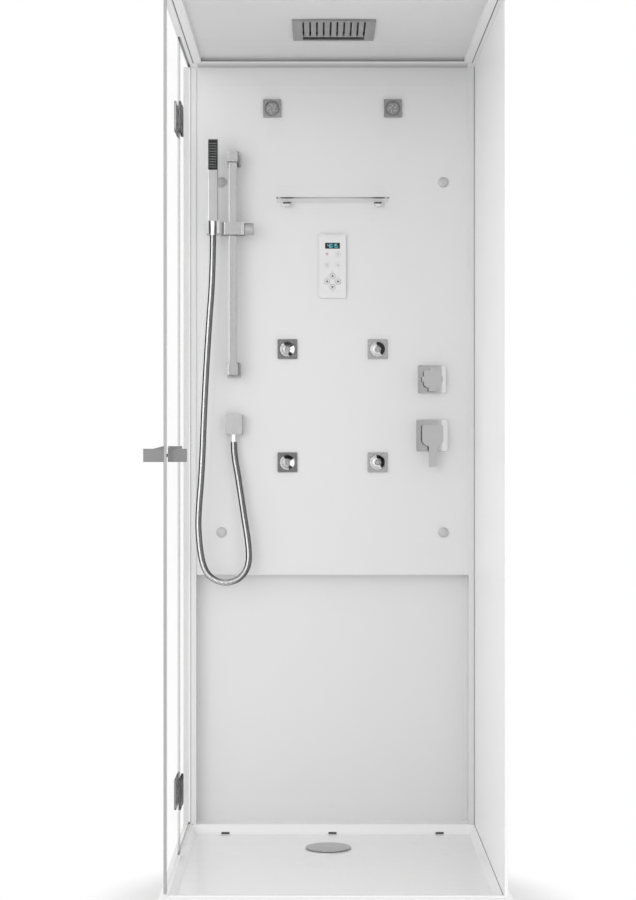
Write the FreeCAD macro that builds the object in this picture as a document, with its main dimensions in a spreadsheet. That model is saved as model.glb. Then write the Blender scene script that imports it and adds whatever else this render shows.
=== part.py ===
import FreeCAD, Part
import math
import os
import re

import Sketcher

# Steam shower cabin, 800 x 1000 x 2200 mm. +Z is up, +X right and +Y towards the back panel,
# with the origin on the floor under the middle of the tray.
doc = FreeCAD.newDocument("SteamShowerCabin")
Vector = FreeCAD.Vector

# ---------------------------------------------------------------- driving dimensions, mm
dimensions = {
    # whole cabin
    "cabinWidth": 800, "cabinDepth": 1000, "cabinHeight": 2200,
    "serviceDepth": 88, "recessDepth": 50, "frontRim": 16,
    "glassThick": 6, "glassSetIn": 13, "wallThick": 8, "wallSetIn": 10.6,
    "runClear": 0.3, "sealGap": 0.5,
    # tray
    "floorHeight": 105, "rimRise": 24, "trayWall": 10, "skirtLift": 12,
    "rimLedge": 20, "frontLedge": 26, "basinSlope": 30, "trayCorner": 12, "basinCorner": 24,
    "weepWide": 22, "weepTall": 5, "weepDeep": 14, "weepSpread": 287,
    "railWide": 30, "railTall": 25, "railWall": 2, "railX": 300, "railY": 400,
    "footRadius": 25, "footTall": 9, "footRod": 6,
    # waste
    "wasteX": -12, "wasteY": 205, "coverRadius": 59, "coverThick": 3.4, "dishRadius": 57.5,
    "dishDeep": 5, "coverLow": 1.2, "wasteHole": 45, "wasteFlange": 56, "flangeThick": 2,
    "trapRadius": 43, "trapBottom": 18, "spigotRadius": 20, "spigotLong": 40, "spigotRoot": 4,
    "wastePort": 40,
    # rear posts and panels
    "postWide": 34, "postWall": 2, "postFront": 4, "grooveDeep": 12,
    "panelThick": 5, "panelGap": 1.5, "panelFoot": 798, "returnDeep": 24, "backSheet": 4,
    # side and front glass
    "hingeY": -14, "paneGap": 4.5, "sealStrip": 6, "doorLift": 8, "doorDrop": 4,
    "sillTall": 6,
    # roof
    "roofSetIn": 11, "roofTall": 38, "bandSide": 40, "bandBack": 79, "bandFront": 42,
    "lineSetIn": 17, "lineWide": 3, "lineDeep": 4, "ceilingRise": 12, "ceilingThick": 4,
    "ledge": 15, "coverSheet": 4, "paneBite": 8,
    # rain head
    "rainY": -45, "rainWide": 202, "rainLong": 250, "rainProud": 6, "rainBow": 5,
    "slotCount": 10, "slotPitch": 16.6, "slotWide": 4.5, "slotLong": 172, "slotShift": -28,
    "scoopGap": 28, "scoopLong": 20, "boxTall": 13,
    # spots and caps
    "spotX": 162, "spotDrop": 149, "spotSide": 48, "spotBore": 20, "spotProud": 7,
    "capX": 298, "capDrop": 347, "capLow": 913, "capRadius": 13.5, "capProud": 6,
    # hinges
    "hingeDrop": 243, "hingeLow": 289, "hingeTall": 74, "leafLong": 45, "leafThick": 5,
    "leafStart": 10, "barrelRadius": 7.5, "knuckleTall": 26, "barrelTall": 60, "pinRadius": 3,
    "pinClear": 0.05, "knuckleGap": 0.4,
    # handle
    "handleBack": 80, "handleZ": 1126, "handleTall": 30, "handleLong": 28, "pullOut": 50,
    "pullIn": 43, "handleStem": 9, "handleSlab": 10, "clampRise": 6, "clampOut": 28, "clampIn": 31,
    "handleBevel": 0.8,
    # slide bar
    "barX": -265, "barY": 60, "barTop": 1913, "barFoot": 1348, "barWide": 22.5, "barDeep": 12,
    "blockWide": 30, "blockTall": 28, "baseWide": 38, "baseTall": 40, "baseThick": 6,
    "sliderZ": 1721, "sliderWide": 60, "sliderTall": 33, "sliderDeep": 44, "slideFit": 0.08,
    "knobLong": 25, "knobRadius": 16.4, "knobStem": 5,
    "holderLong": 38, "holderStem": 6, "forkMouth": 21,
    # hand shower
    "handX": -316, "handY": 100, "handWide": 27, "handDeep": 24, "handFoot": 1737.5,
    "handTall": 216, "coneTop": 12, "coneFoot": 8.5, "coneTall": 36, "hoseRadius": 8.5,
    "sprayTall": 81, "sprayProud": 2, "sprayEdge": 1.8,
    # wall outlet
    "outletX": -264, "outletZ": 1202.7, "outletWide": 46, "outletTall": 54, "outletDeep": 38,
    "outletReach": 22, "nutRadius": 9.3, "nutTall": 20,
    # shelf
    "shelfZ": 1797, "shelfWide": 300, "shelfDeep": 85, "shelfThick": 8, "clampX": 122,
    "clampRadius": 12, "clampReach": 26, "shelfRadius": 12,
    # control panel
    "controlZ": 1627, "controlWide": 72, "controlTall": 170, "controlThick": 9,
    "controlRadius": 5, "displayZ": 1682, "displayWide": 40, "displayTall": 16,
    "keyZ": 1586, "keyPitch": 14.8, "keyRadius": 7.5, "keyClear": 0.2, "keyProud": 0.8,
    "keyTravel": 0.6, "keyWell": 5,
    # valves
    "diverterX": 267, "diverterZ": 1324, "diverterSide": 75, "diverterKnob": 46,
    "mixerX": 267, "mixerZ": 1173, "mixerSide": 84, "mixerHead": 56, "plateThick": 5,
    "headThick": 26, "headStand": 20, "leverWide": 21, "leverReach": 84, "leverThick": 9,
    "neckRadius": 15, "headChamfer": 11, "headRound": 5, "tailReach": 33, "blockHalf": 30,
    "blockDeep": 70, "inletRadius": 10.5, "inletLong": 13, "inletPitch": 34, "stemRadius": 8,
    "stemFit": 0.05, "lugReach": 5,
    # jets
    "jetX": 121, "jetHigh": 1405, "jetLow": 1101, "jetSide": 53, "jetThick": 4,
    "jetBall": 20, "jetFace": 4, "jetSocket": 26, "jetHole": 1.7, "jetFit": 0.3, "jetDeep": 33,
    "jetNose": 9, "jetCup": 18.4,
    # steam and pipes
    "boilerWide": 290, "boilerTall": 215, "boilerDeep": 62, "boilerFoot": 838, "boilerRadius": 16,
    "steamRadius": 9, "outletRadius": 17, "pipeRadius": 8, "pipeBack": 49,
    "teeHalf": 11, "outletShow": 1.2,
}

sheet = doc.addObject("Spreadsheet::Sheet", "Sizes")
for row, (alias, value) in enumerate(dimensions.items(), start=1):
    sheet.set("A%d" % row, alias)
    sheet.set("B%d" % row, str(value))
    sheet.setAlias("B%d" % row, alias)
doc.recompute()

words = re.compile(r"[a-z]+[A-Z][A-Za-z]*|ledge")


def bound(expression):
    """The expression as the document reads it, with each size looked up in the sheet."""
    return words.sub(lambda found: "Sizes." + found.group(0), str(expression))


def number(expression):
    """The same expression's value now, used where a sketch needs a first position."""
    plain = words.sub(lambda found: "(%r)" % float(dimensions[found.group(0)]), str(expression))
    return FreeCAD.Units.Quantity(plain).Value


# places that many pieces share
left, right = "(-cabinWidth / 2)", "(cabinWidth / 2)"
front, back = "(-cabinDepth / 2)", "(cabinDepth / 2)"
panelFace = f"({back} - serviceDepth)"
recessFace = f"({panelFace} + recessDepth)"
rimTop = "(floorHeight + rimRise)"
spigotLevel = "(trapBottom + spigotRadius + 4)"
roofFoot = "(cabinHeight - roofTall)"
glassLeft, glassInner = f"({left} + glassSetIn)", f"({left} + glassSetIn + glassThick)"
wallOuter, wallInner = f"({right} - wallSetIn)", f"({right} - wallSetIn - wallThick)"
glassFront = f"({front} + frontRim)"
paneBack = f"({glassFront} + glassThick)"
postNear = f"({panelFace} - postFront)"
axisX = f"({glassLeft} + glassThick / 2)"
spotZ, hingeHigh = "(cabinHeight - spotDrop)", "(cabinHeight - hingeDrop)"
handleY = f"({front} + handleBack)"

nodes = []


def publish(feature, label):
    feature.Label = label
    nodes.append(feature)
    return feature


def bind(feature, **values):
    for name, expression in values.items():
        feature.setExpression(name.replace("_", "."), bound(expression))
    return feature


def place(feature, x="0", y="0", z="0"):
    for axis, expression in zip("xyz", (x, y, z)):
        feature.setExpression("Placement.Base." + axis, bound(expression))
    return feature


def box(name, x, y, z):
    """A block from three (low, high) pairs."""
    block = doc.addObject("Part::Box", name)
    for size, span in zip(("Length", "Width", "Height"), (x, y, z)):
        block.setExpression(size, bound(f"({span[1]}) - ({span[0]})"))
    return place(block, x[0], y[0], z[0])


turns = {
    "z": FreeCAD.Rotation(),
    "x": FreeCAD.Rotation(Vector(0, 1, 0), 90),
    "y": FreeCAD.Rotation(Vector(1, 0, 0), -90),
}


def cylinder(name, radius, length, base, axis="z"):
    """A round bar that starts at base and runs along the positive axis."""
    bar = doc.addObject("Part::Cylinder", name)
    bar.Placement.Rotation = turns[axis]
    bind(bar, Radius=radius, Height=length)
    return place(bar, *base)


def cone(name, low, high, length, base, axis="z"):
    shape = doc.addObject("Part::Cone", name)
    shape.Placement.Rotation = turns[axis]
    bind(shape, Radius1=low, Radius2=high, Height=length)
    return place(shape, *base)


def cut(name, base, *tools):
    for index, tool in enumerate(tools):
        result = doc.addObject("Part::Cut", "%s%d" % (name, index))
        result.Base, result.Tool = base, tool
        base = result
    return base


def fuse(name, *shapes):
    joined = doc.addObject("Part::MultiFuse", name)
    joined.Shapes = list(shapes)
    joined.Refine = True
    return joined


def common(name, base, tool):
    both = doc.addObject("Part::Common", name)
    both.Base, both.Tool = base, tool
    return both


def group(label, *shapes):
    """Separate solids of one kind that share a node."""
    gathered = doc.addObject("Part::Compound", label)
    gathered.Links = list(shapes)
    return publish(gathered, label)


# ---------------------------------------------------------------- sketched bodies
planes = {"z": ("XY_Plane", 1), "y": ("XZ_Plane", -1), "x": ("YZ_Plane", 1)}


def body(label):
    return publish(doc.addObject("PartDesign::Body", label), label)


def part_body(name):
    return doc.addObject("PartDesign::Body", name)


def sketch(owner, axis, level):
    """A sketch square to the axis, at the given level along it."""
    role, sign = planes[axis]
    drawn = owner.newObject("Sketcher::SketchObject", owner.Name + "Sketch")
    plane = [item for item in owner.Origin.OriginFeatures if item.Role == role][0]
    drawn.AttachmentSupport = [(plane, "")]
    drawn.MapMode = "FlatFace"
    level = bound(f"({level}) * {sign}")
    drawn.setExpression("AttachmentOffset.Base.z", level)
    return drawn


def pin_point(drawn, element, point, x, y):
    for kind, value in (("DistanceX", x), ("DistanceY", y)):
        index = drawn.addConstraint(
            Sketcher.Constraint(kind, -1, 1, element, point, number(value)))
        drawn.setExpression("Constraints[%d]" % index, bound(value))


def polygon(drawn, points):
    corners = [Vector(number(x), number(y), 0) for x, y in points]
    lines = []
    for index, corner in enumerate(corners):
        line = Part.LineSegment(corner, corners[(index + 1) % len(corners)])
        lines.append(drawn.addGeometry(line, False))
    for index, line in enumerate(lines):
        following = lines[(index + 1) % len(lines)]
        drawn.addConstraint(Sketcher.Constraint("Coincident", line, 2, following, 1))
        pin_point(drawn, line, 1, *points[index])


def rectangle(drawn, x, y):
    polygon(drawn, [(x[0], y[0]), (x[1], y[0]), (x[1], y[1]), (x[0], y[1])])


def circle(drawn, x, y, radius):
    ring = drawn.addGeometry(
        Part.Circle(Vector(number(x), number(y), 0), Vector(0, 0, 1), number(radius)), False)
    index = drawn.addConstraint(Sketcher.Constraint("Radius", ring, number(radius)))
    drawn.setExpression("Constraints[%d]" % index, bound(radius))
    pin_point(drawn, ring, 3, x, y)


def rounded(drawn, x, y, radius):
    """A rectangle whose four corners are quarter arcs."""
    x0, x1, y0, y1, r = (number(value) for value in (*x, *y, radius))
    centres = [(x1 - r, y0 + r, -90), (x1 - r, y1 - r, 0), (x0 + r, y1 - r, 90),
               (x0 + r, y0 + r, 180)]
    arcs = []
    for cx, cy, start in centres:
        ring = Part.Circle(Vector(cx, cy, 0), Vector(0, 0, 1), r)
        arc = Part.ArcOfCircle(ring, math.radians(start), math.radians(start + 90))
        arcs.append(drawn.addGeometry(arc, False))
    ends = [((x1, y0 + r), (x1, y1 - r)), ((x1 - r, y1), (x0 + r, y1)),
            ((x0, y1 - r), (x0, y0 + r)), ((x0 + r, y0), (x1 - r, y0))]
    sides = []
    for begin, finish in ends:
        line = Part.LineSegment(Vector(*begin, 0), Vector(*finish, 0))
        sides.append(drawn.addGeometry(line, False))
    for index, side in enumerate(sides):
        after = arcs[(index + 1) % 4]
        drawn.addConstraint(Sketcher.Constraint("Tangent", arcs[index], 2, side, 1))
        drawn.addConstraint(Sketcher.Constraint("Tangent", side, 2, after, 1))
    for arc in arcs[1:]:
        drawn.addConstraint(Sketcher.Constraint("Equal", arcs[0], arc))
    for side, kind in zip(sides, ("Vertical", "Horizontal", "Vertical", "Horizontal")):
        drawn.addConstraint(Sketcher.Constraint(kind, side))
    for side, kind, value in ((sides[0], "DistanceX", x[1]), (sides[2], "DistanceX", x[0]),
                              (sides[1], "DistanceY", y[1]), (sides[3], "DistanceY", y[0])):
        index = drawn.addConstraint(
            Sketcher.Constraint(kind, -1, 1, side, 1, number(value)))
        drawn.setExpression("Constraints[%d]" % index, bound(value))
    index = drawn.addConstraint(Sketcher.Constraint("Radius", arcs[0], r))
    drawn.setExpression("Constraints[%d]" % index, bound(radius))


def pad(owner, axis, span, draw):
    """Material along the axis from span[0] to span[1]."""
    low, high = span
    drawn = sketch(owner, axis, high if axis == "y" else low)
    draw(drawn)
    feature = owner.newObject("PartDesign::Pad", owner.Name + "Pad")
    feature.Profile = drawn
    feature.setExpression("Length", bound(f"({high}) - ({low})"))
    doc.recompute()
    return feature


def pocket(owner, axis, span, draw):
    """Material taken away along the axis from span[0] to span[1]."""
    low, high = span
    before = owner.Shape.Volume
    drawn = sketch(owner, axis, low if axis == "y" else high)
    draw(drawn)
    feature = owner.newObject("PartDesign::Pocket", owner.Name + "Pocket")
    feature.Profile = drawn
    feature.setExpression("Length", bound(f"({high}) - ({low})"))
    doc.recompute()
    if not owner.Shape.Volume < before - 0.01:
        raise RuntimeError("a pocket of %s takes nothing away" % owner.Label)
    return feature


def revolve(owner, points, groove=False):
    """A round piece about the upright axis through the body's own origin."""
    role = [item for item in owner.Origin.OriginFeatures if item.Role == "XZ_Plane"][0]
    drawn = owner.newObject("Sketcher::SketchObject", owner.Name + "Sketch")
    drawn.AttachmentSupport = [(role, "")]
    drawn.MapMode = "FlatFace"
    polygon(drawn, points)
    kind = "PartDesign::Groove" if groove else "PartDesign::Revolution"
    feature = owner.newObject(kind, owner.Name + "Turn")
    feature.Profile = drawn
    feature.ReferenceAxis = (drawn, ["V_Axis"])
    feature.Angle = 360
    doc.recompute()
    return feature


def turned(name, points, base, axis="z"):
    """A revolved body, turned so that its own Z runs along the axis, set at base."""
    owner = part_body(name)
    revolve(owner, points)
    owner.Placement.Rotation = turns[axis]
    return place(owner, *base)


# ---------------------------------------------------------------- shower tray and its frame
def showerTray():
    tray = body("shower_tray")
    pad(tray, "z", ("skirtLift", rimTop), lambda drawn: rounded(
        drawn, (left, right), (front, back), "trayCorner"))
    basin = pocket(tray, "z", ("floorHeight", rimTop), lambda drawn: rounded(
        drawn, (f"{left} + rimLedge", f"{right} - rimLedge"),
        (f"{front} + frontLedge", panelFace), "basinCorner"))
    basin.setExpression("TaperAngle", bound("0 - basinSlope"))
    doc.recompute()
    pocket(tray, "z", ("skirtLift", "floorHeight - trayWall"), lambda drawn: rounded(
        drawn, (f"{left} + trayWall", f"{right} - trayWall"),
        (f"{front} + trayWall", f"{back} - trayWall"), "trayCorner - trayWall"))
    pocket(tray, "z", ("floorHeight - dishDeep", "floorHeight"), lambda drawn: circle(
        drawn, "wasteX", "wasteY", "dishRadius"))
    pocket(tray, "z", ("floorHeight - trayWall", "floorHeight"), lambda drawn: circle(
        drawn, "wasteX", "wasteY", "wasteHole"))
    basinBack = f"{panelFace} - rimRise * tan(basinSlope)"

    def weeps(drawn):
        for middle in ("0 - weepSpread", "0", "weepSpread"):
            rectangle(drawn, (f"{middle} - weepWide / 2", f"{middle} + weepWide / 2"),
                      ("floorHeight", "floorHeight + weepTall"))
    pocket(tray, "y", (basinBack, f"{basinBack} + weepDeep"), weeps)
    # the waste pipe leaves through an opening in the foot of the back skirt
    pocket(tray, "y", (f"{back} - trayWall", back), lambda drawn: rectangle(
        drawn, ("wasteX - wastePort", "wasteX + wastePort"),
        ("skirtLift", f"{spigotLevel} + wastePort")))


trayFloorFoot = "(floorHeight - trayWall)"
railFoot = f"({trayFloorFoot} - railTall)"


def tubeSection(drawn, middle):
    rectangle(drawn, (f"{middle} - railWide / 2", f"{middle} + railWide / 2"),
              (railFoot, trayFloorFoot))
    rectangle(drawn, (f"{middle} - railWide / 2 + railWall", f"{middle} + railWide / 2 - railWall"),
              (f"{railFoot} + railWall", f"{trayFloorFoot} - railWall"))


def trayFrame():
    frame = body("tray_underframe")

    def sides(drawn):
        for middle in ("0 - railX", "railX"):
            tubeSection(drawn, middle)

    def crossings(drawn):
        for middle in ("0 - railY", "0", "railY"):
            tubeSection(drawn, middle)
    pad(frame, "x", ("0 - railX + railWide / 2", "railX - railWide / 2"), crossings)
    pad(frame, "y", ("0 - railY - railWide / 2", "railY + railWide / 2"), sides)


def trayFeet():
    outline = [("0", "0"), ("footRadius", "0"), ("footRadius", "footTall / 2"),
               ("footRadius - footTall / 2", "footTall"), ("footRod + 2", "footTall + 3"),
               ("footRod", "footTall + 3"), ("footRod", f"{railFoot} - 8"),
               ("footRod + 4", f"{railFoot} - 8"), ("footRod + 4", railFoot), ("0", railFoot)]
    feet = [turned("foot", outline, (x, y, "0")) for x, y in (
        ("0 - railX", "0 - railY"), ("railX", "0 - railY"), ("0", "0"),
        ("0 - railX", "railY"), ("railX", "railY"))]
    group("tray_feet", *feet)


dishFoot = "(floorHeight - dishDeep)"


def waste():
    trap = turned("trap", [
        ("0", "trapBottom"), ("trapRadius", "trapBottom"), ("trapRadius", f"{trayFloorFoot} - 8"),
        ("wasteFlange - 2", f"{trayFloorFoot} - 8"), ("wasteFlange - 2", trayFloorFoot),
        ("trapRadius", trayFloorFoot), ("trapRadius", dishFoot), ("wasteFlange", dishFoot),
        ("wasteFlange", f"{dishFoot} + flangeThick"),
        ("trapRadius - 3", f"{dishFoot} + flangeThick"), ("trapRadius - 3", "trapBottom + 3"),
        ("0", "trapBottom + 3")], ("wasteX", "wasteY", "0"))
    level = spigotLevel
    start = "wasteY + trapRadius - 4"
    spigot = cylinder("spigot", "spigotRadius", "spigotLong + 4", ("wasteX", start, level), "y")
    root = cylinder("spigotCollar", "spigotRadius + spigotRoot - 0.5", "spigotRoot + 8",
                    ("wasteX", "wasteY + trapRadius - 8", level), "y")
    bore = cylinder("spigotBore", "spigotRadius - 3", "spigotLong + trapRadius",
                    ("wasteX", "wasteY", level), "y")
    core = cylinder("trapCore", "trapRadius - 3", "spigotRadius * 2 + 4",
                    ("wasteX", "wasteY", "trapBottom + 3"))
    publish(cut("wasteCut", fuse("wasteWhole", trap, spigot, root), bore, core), "waste_body")


def drainCover():
    under = "floorHeight + coverLow"
    disc = turned("coverDisc", [
        ("0", under), ("coverRadius - 1", under), ("coverRadius", f"{under} + 1"),
        ("coverRadius", f"{under} + coverThick - 1"), ("coverRadius - 1.5", f"{under} + coverThick"),
        ("0", f"{under} + coverThick + 0.6")], ("wasteX", "wasteY", "0"))
    collar = turned("coverCollar", [
        ("trapRadius - 9", f"{under} - 16"), ("trapRadius - 5", f"{under} - 16"),
        ("trapRadius - 3 - runClear", under), ("trapRadius - 3 - runClear", f"{under} + 1"),
        ("trapRadius - 9", f"{under} + 1")], ("wasteX", "wasteY", "0"))
    mouths = []
    for name, span in (("coverMouthX", ("y", "x")), ("coverMouthY", ("x", "y"))):
        along, across = span
        wide = {along: "trapRadius", across: "12"}
        mouths.append(box(name, ("wasteX - " + wide["x"], "wasteX + " + wide["x"]),
                          ("wasteY - " + wide["y"], "wasteY + " + wide["y"]),
                          (f"{under} - 13", f"{under} - 0.5")))
    collar = cut("coverCollarCut", collar, *mouths)
    publish(fuse("coverWhole", disc, collar), "drain_cover")


showerTray()
trayFrame()
trayFeet()
waste()
drainCover()


# ---------------------------------------------------------------- rear posts and panels
postInner = {"left": f"({left} + postWide)", "right": f"({right} - postWide)"}


def rearPost(side, outer, inner, slot):
    post = part_body(side + "Post")
    lowX, highX = (outer, inner) if side == "left" else (inner, outer)
    pad(post, "z", (rimTop, roofFoot), lambda drawn: rectangle(
        drawn, (lowX, highX), (postNear, back)))
    pocket(post, "z", (rimTop, roofFoot), lambda drawn: rectangle(
        drawn, slot, (postNear, f"{postNear} + grooveDeep")))
    pocket(post, "z", (rimTop, roofFoot), lambda drawn: rectangle(
        drawn, (f"{lowX} + postWall", f"{highX} - postWall"),
        (f"{postNear} + grooveDeep + postWall", f"{back} - postWall")))
    return post


def panels():
    lower = body("lower_back_panel")
    pad(lower, "y", (recessFace, f"{recessFace} + backSheet"), lambda drawn: rectangle(
        drawn, (postInner["left"], postInner["right"]), (rimTop, "panelFoot + returnDeep")))
    upper = body("upper_back_panel")
    edges = (postInner["left"] + " + panelGap", postInner["right"] + " - panelGap")
    pad(upper, "y", (panelFace, f"{panelFace} + panelThick"), lambda drawn: rectangle(
        drawn, edges, ("panelFoot", roofFoot)))
    pad(upper, "z", ("panelFoot", "panelFoot + panelThick"), lambda drawn: rectangle(
        drawn, edges, (panelFace, recessFace)))

    def sideReturns(drawn):
        depth = (panelFace, f"{panelFace} + returnDeep")
        rectangle(drawn, (edges[0], edges[0] + " + panelThick"), depth)
        rectangle(drawn, (edges[1] + " - panelThick", edges[1]), depth)
    pad(upper, "z", ("panelFoot", roofFoot), sideReturns)

    def holes(drawn):
        for x in ("0 - jetX", "jetX"):
            for z in ("jetLow", "jetHigh"):
                circle(drawn, x, z, "jetBall + 2 * jetFit")
        for x in ("0 - spotX", "spotX"):
            circle(drawn, x, spotZ, "spotBore - 3.5")
        circle(drawn, "outletX", "outletZ", "pipeRadius + 2")
        circle(drawn, "diverterX", "diverterZ", "stemRadius + 3")
        circle(drawn, "mixerX", "mixerZ", "stemRadius + 3")
    pocket(upper, "y", (panelFace, f"{panelFace} + panelThick"), holes)
    pocket(upper, "z", ("panelFoot", "panelFoot + panelThick"), lambda drawn: circle(
        drawn, "0", steamY, "steamRadius + 1"))
    lip = [name for name, edge in edgesOf(upper) if edge.BoundBox.YLength < 0.01
           and edge.BoundBox.ZLength < 0.01 and edge.BoundBox.XLength > number("cabinWidth / 2")
           and abs(edge.BoundBox.YMin - number(panelFace)) < 0.01
           and abs(edge.BoundBox.ZMin - number("panelFoot")) < 0.01]
    solid = upper.Tip
    rounding = upper.newObject("PartDesign::Fillet", "panelLip")
    rounding.Base = (solid, lip)
    rounding.setExpression("Radius", bound("panelThick / 2"))
    doc.recompute()


def edgesOf(owner):
    return [("Edge%d" % index, edge) for index, edge in enumerate(owner.Shape.Edges, start=1)]


steamY = f"({panelFace} + recessDepth / 2)"
group("rear_posts",
      rearPost("left", left, postInner["left"],
               (f"{glassLeft} - runClear", f"{glassInner} + runClear")),
      rearPost("right", right, postInner["right"],
               (f"{wallInner} - runClear", f"{wallOuter} + runClear")))
panels()


# ---------------------------------------------------------------- side wall and glass
paneFoot, paneTop = f"({rimTop} + 2)", f"({roofFoot} + paneBite - 1)"
paneEnd = f"({postNear} + grooveDeep - 0.5)"
trimBack = f"({paneBack} + 4)"
sealLip = f"({glassInner} + 4.5)"


def sideWall():
    wall = body("right_wall_panel")
    pad(wall, "x", (wallInner, wallOuter), lambda drawn: rectangle(
        drawn, (trimBack, paneEnd), (rimTop, paneTop)))
    trim = body("right_front_profile")
    pad(trim, "z", (rimTop, roofFoot), lambda drawn: rectangle(
        drawn, (wallInner, wallOuter), (f"{glassFront} - 2", trimBack)))
    pocket(trim, "z", (rimTop, roofFoot), lambda drawn: rectangle(
        drawn, (wallInner, f"{wallInner} + 4"), (glassFront, paneBack)))


hingeLevels = (hingeHigh, "hingeLow")


def notches(drawn, direction):
    ends = ("hingeY", f"hingeY {direction} (leafStart + 2.5)")
    if direction == "-":
        ends = (ends[1], ends[0])
    for level in hingeLevels:
        rectangle(drawn, ends, (f"{level} - barrelTall / 2 - 0.5", f"{level} + barrelTall / 2 + 0.5"))


def glass():
    thickness = (glassLeft, glassInner)
    fixed = body("left_fixed_glass")
    pad(fixed, "x", thickness, lambda drawn: rectangle(
        drawn, ("hingeY + paneGap", paneEnd), (paneFoot, paneTop)))
    pocket(fixed, "x", thickness, lambda drawn: notches(drawn, "+"))
    door = body("door_glass")
    pad(door, "x", thickness, lambda drawn: rectangle(
        drawn, (f"{glassFront} + sealStrip", "hingeY - paneGap"),
        (f"{rimTop} + doorLift", f"{roofFoot} - doorDrop")))
    pocket(door, "x", thickness, lambda drawn: notches(drawn, "-"))
    pocket(door, "x", thickness, lambda drawn: circle(
        drawn, handleY, "handleZ", "handleStem / 2 + 1"))
    sheetFront = body("front_glass")
    pad(sheetFront, "y", (glassFront, paneBack), lambda drawn: rectangle(
        drawn, (f"{sealLip} + sealGap", f"{wallInner} + 4"), (paneFoot, paneTop)))


def sills():
    rows = []
    for name, axis, along, across in (
            ("sideSill", "y", ("hingeY + paneGap", postNear),
             (f"{glassLeft} - 3", glassLeft, glassInner, f"{glassInner} + 3")),
            ("frontSill", "x", (f"{sealLip} + sealGap", wallInner),
             (f"{glassFront} - 3", glassFront, paneBack, f"{paneBack} + 3"))):
        sill = part_body(name)
        a, b, c, d = across
        top = f"{rimTop} + sillTall"
        pad(sill, axis, along, lambda drawn: polygon(drawn, [
            (a, rimTop), (d, rimTop), (d, f"{rimTop} + sillTall / 2"), (c, top), (c, paneFoot),
            (b, paneFoot), (b, top), (a, f"{rimTop} + sillTall / 2")]))
        rows.append(sill)
    group("glass_sills", *rows)


def doorSeals():
    strip = part_body("edgeSeal")
    pad(strip, "z", (f"{rimTop} + doorLift", f"{roofFoot} - doorDrop"), lambda drawn: polygon(
        drawn, [(glassLeft, glassFront), (sealLip, glassFront), (sealLip, f"{glassFront} + 2"),
                (glassInner, f"{glassFront} + sealStrip"), (glassLeft, f"{glassFront} + sealStrip")]))
    wiper = part_body("dripSeal")
    foot, top = f"{rimTop} + 1", f"{rimTop} + doorLift"
    pad(wiper, "y", (f"{glassFront} + sealStrip", "hingeY - paneGap"), lambda drawn: polygon(
        drawn, [(f"{glassLeft} + 2", foot), (f"{glassInner} - 2", foot), (glassInner, f"{foot} + 3"),
                (glassInner, top), (glassLeft, top), (glassLeft, f"{foot} + 3")]))
    group("door_seals", strip, wiper)


sideWall()
glass()
sills()
doorSeals()


# ---------------------------------------------------------------- hinges and handle
def hingePlates(level, direction):
    """The two plates of a leaf, one on each face of the glass, with chamfered corners."""
    near, far = f"hingeY {direction} leafStart", f"hingeY {direction} (leafStart + leafLong)"
    inset = f"{far} {'-' if direction == '+' else '+'} 5"
    low, high = f"{level} - hingeTall / 2", f"{level} + hingeTall / 2"
    outline = [(near, low), (inset, low), (far, f"{low} + 5"), (far, f"{high} - 5"),
               (inset, high), (near, high)]
    plates = []
    for name, span in (("leafOuter", (f"{glassLeft} - leafThick", glassLeft)),
                       ("leafInner", (glassInner, f"{glassInner} + leafThick"))):
        plate = part_body(name)
        pad(plate, "x", span, lambda drawn: polygon(drawn, outline))
        plates.append(plate)
    return plates


def knuckle(name, low, high, direction, bore):
    """A barrel round the hinge axis with the web that joins it to its two plates."""
    length = f"({high}) - ({low})"
    barrel = cylinder(name, "barrelRadius", length, (axisX, "hingeY", low))
    reach = ("hingeY", "hingeY + leafStart + 2")
    if direction == "-":
        reach = ("hingeY - leafStart - 2", "hingeY")
    web = box(name + "Web", (f"{axisX} - barrelRadius", f"{axisX} + barrelRadius"), reach,
              (low, high))
    hole = cylinder(name + "Bore", bore, length, (axisX, "hingeY", low))
    return cut(name + "Cut", fuse(name + "Solid", barrel, web), hole)


def hinges():
    fixedLeaves, doorLeaves, pins = [], [], []
    for level in hingeLevels:
        half = "knuckleTall / 2"
        upper = knuckle("topKnuckle", f"{level} + {half} + knuckleGap",
                        f"{level} + barrelTall / 2", "+", "pinRadius")
        lower = knuckle("footKnuckle", f"{level} - barrelTall / 2",
                        f"{level} - {half} - knuckleGap", "+", "pinRadius")
        middle = knuckle("doorKnuckle", f"{level} - {half}", f"{level} + {half}", "-",
                         "pinRadius + pinClear")
        fixedLeaves.append(fuse("fixedLeaf", upper, lower, *hingePlates(level, "+")))
        doorLeaves.append(fuse("doorLeaf", middle, *hingePlates(level, "-")))
        pins.append(cylinder("hingePin", "pinRadius", "barrelTall",
                             (axisX, "hingeY", f"{level} - barrelTall / 2")))
    group("hinge_fixed_leaves", *fixedLeaves, *pins)
    group("hinge_door_leaves", *doorLeaves)


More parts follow.
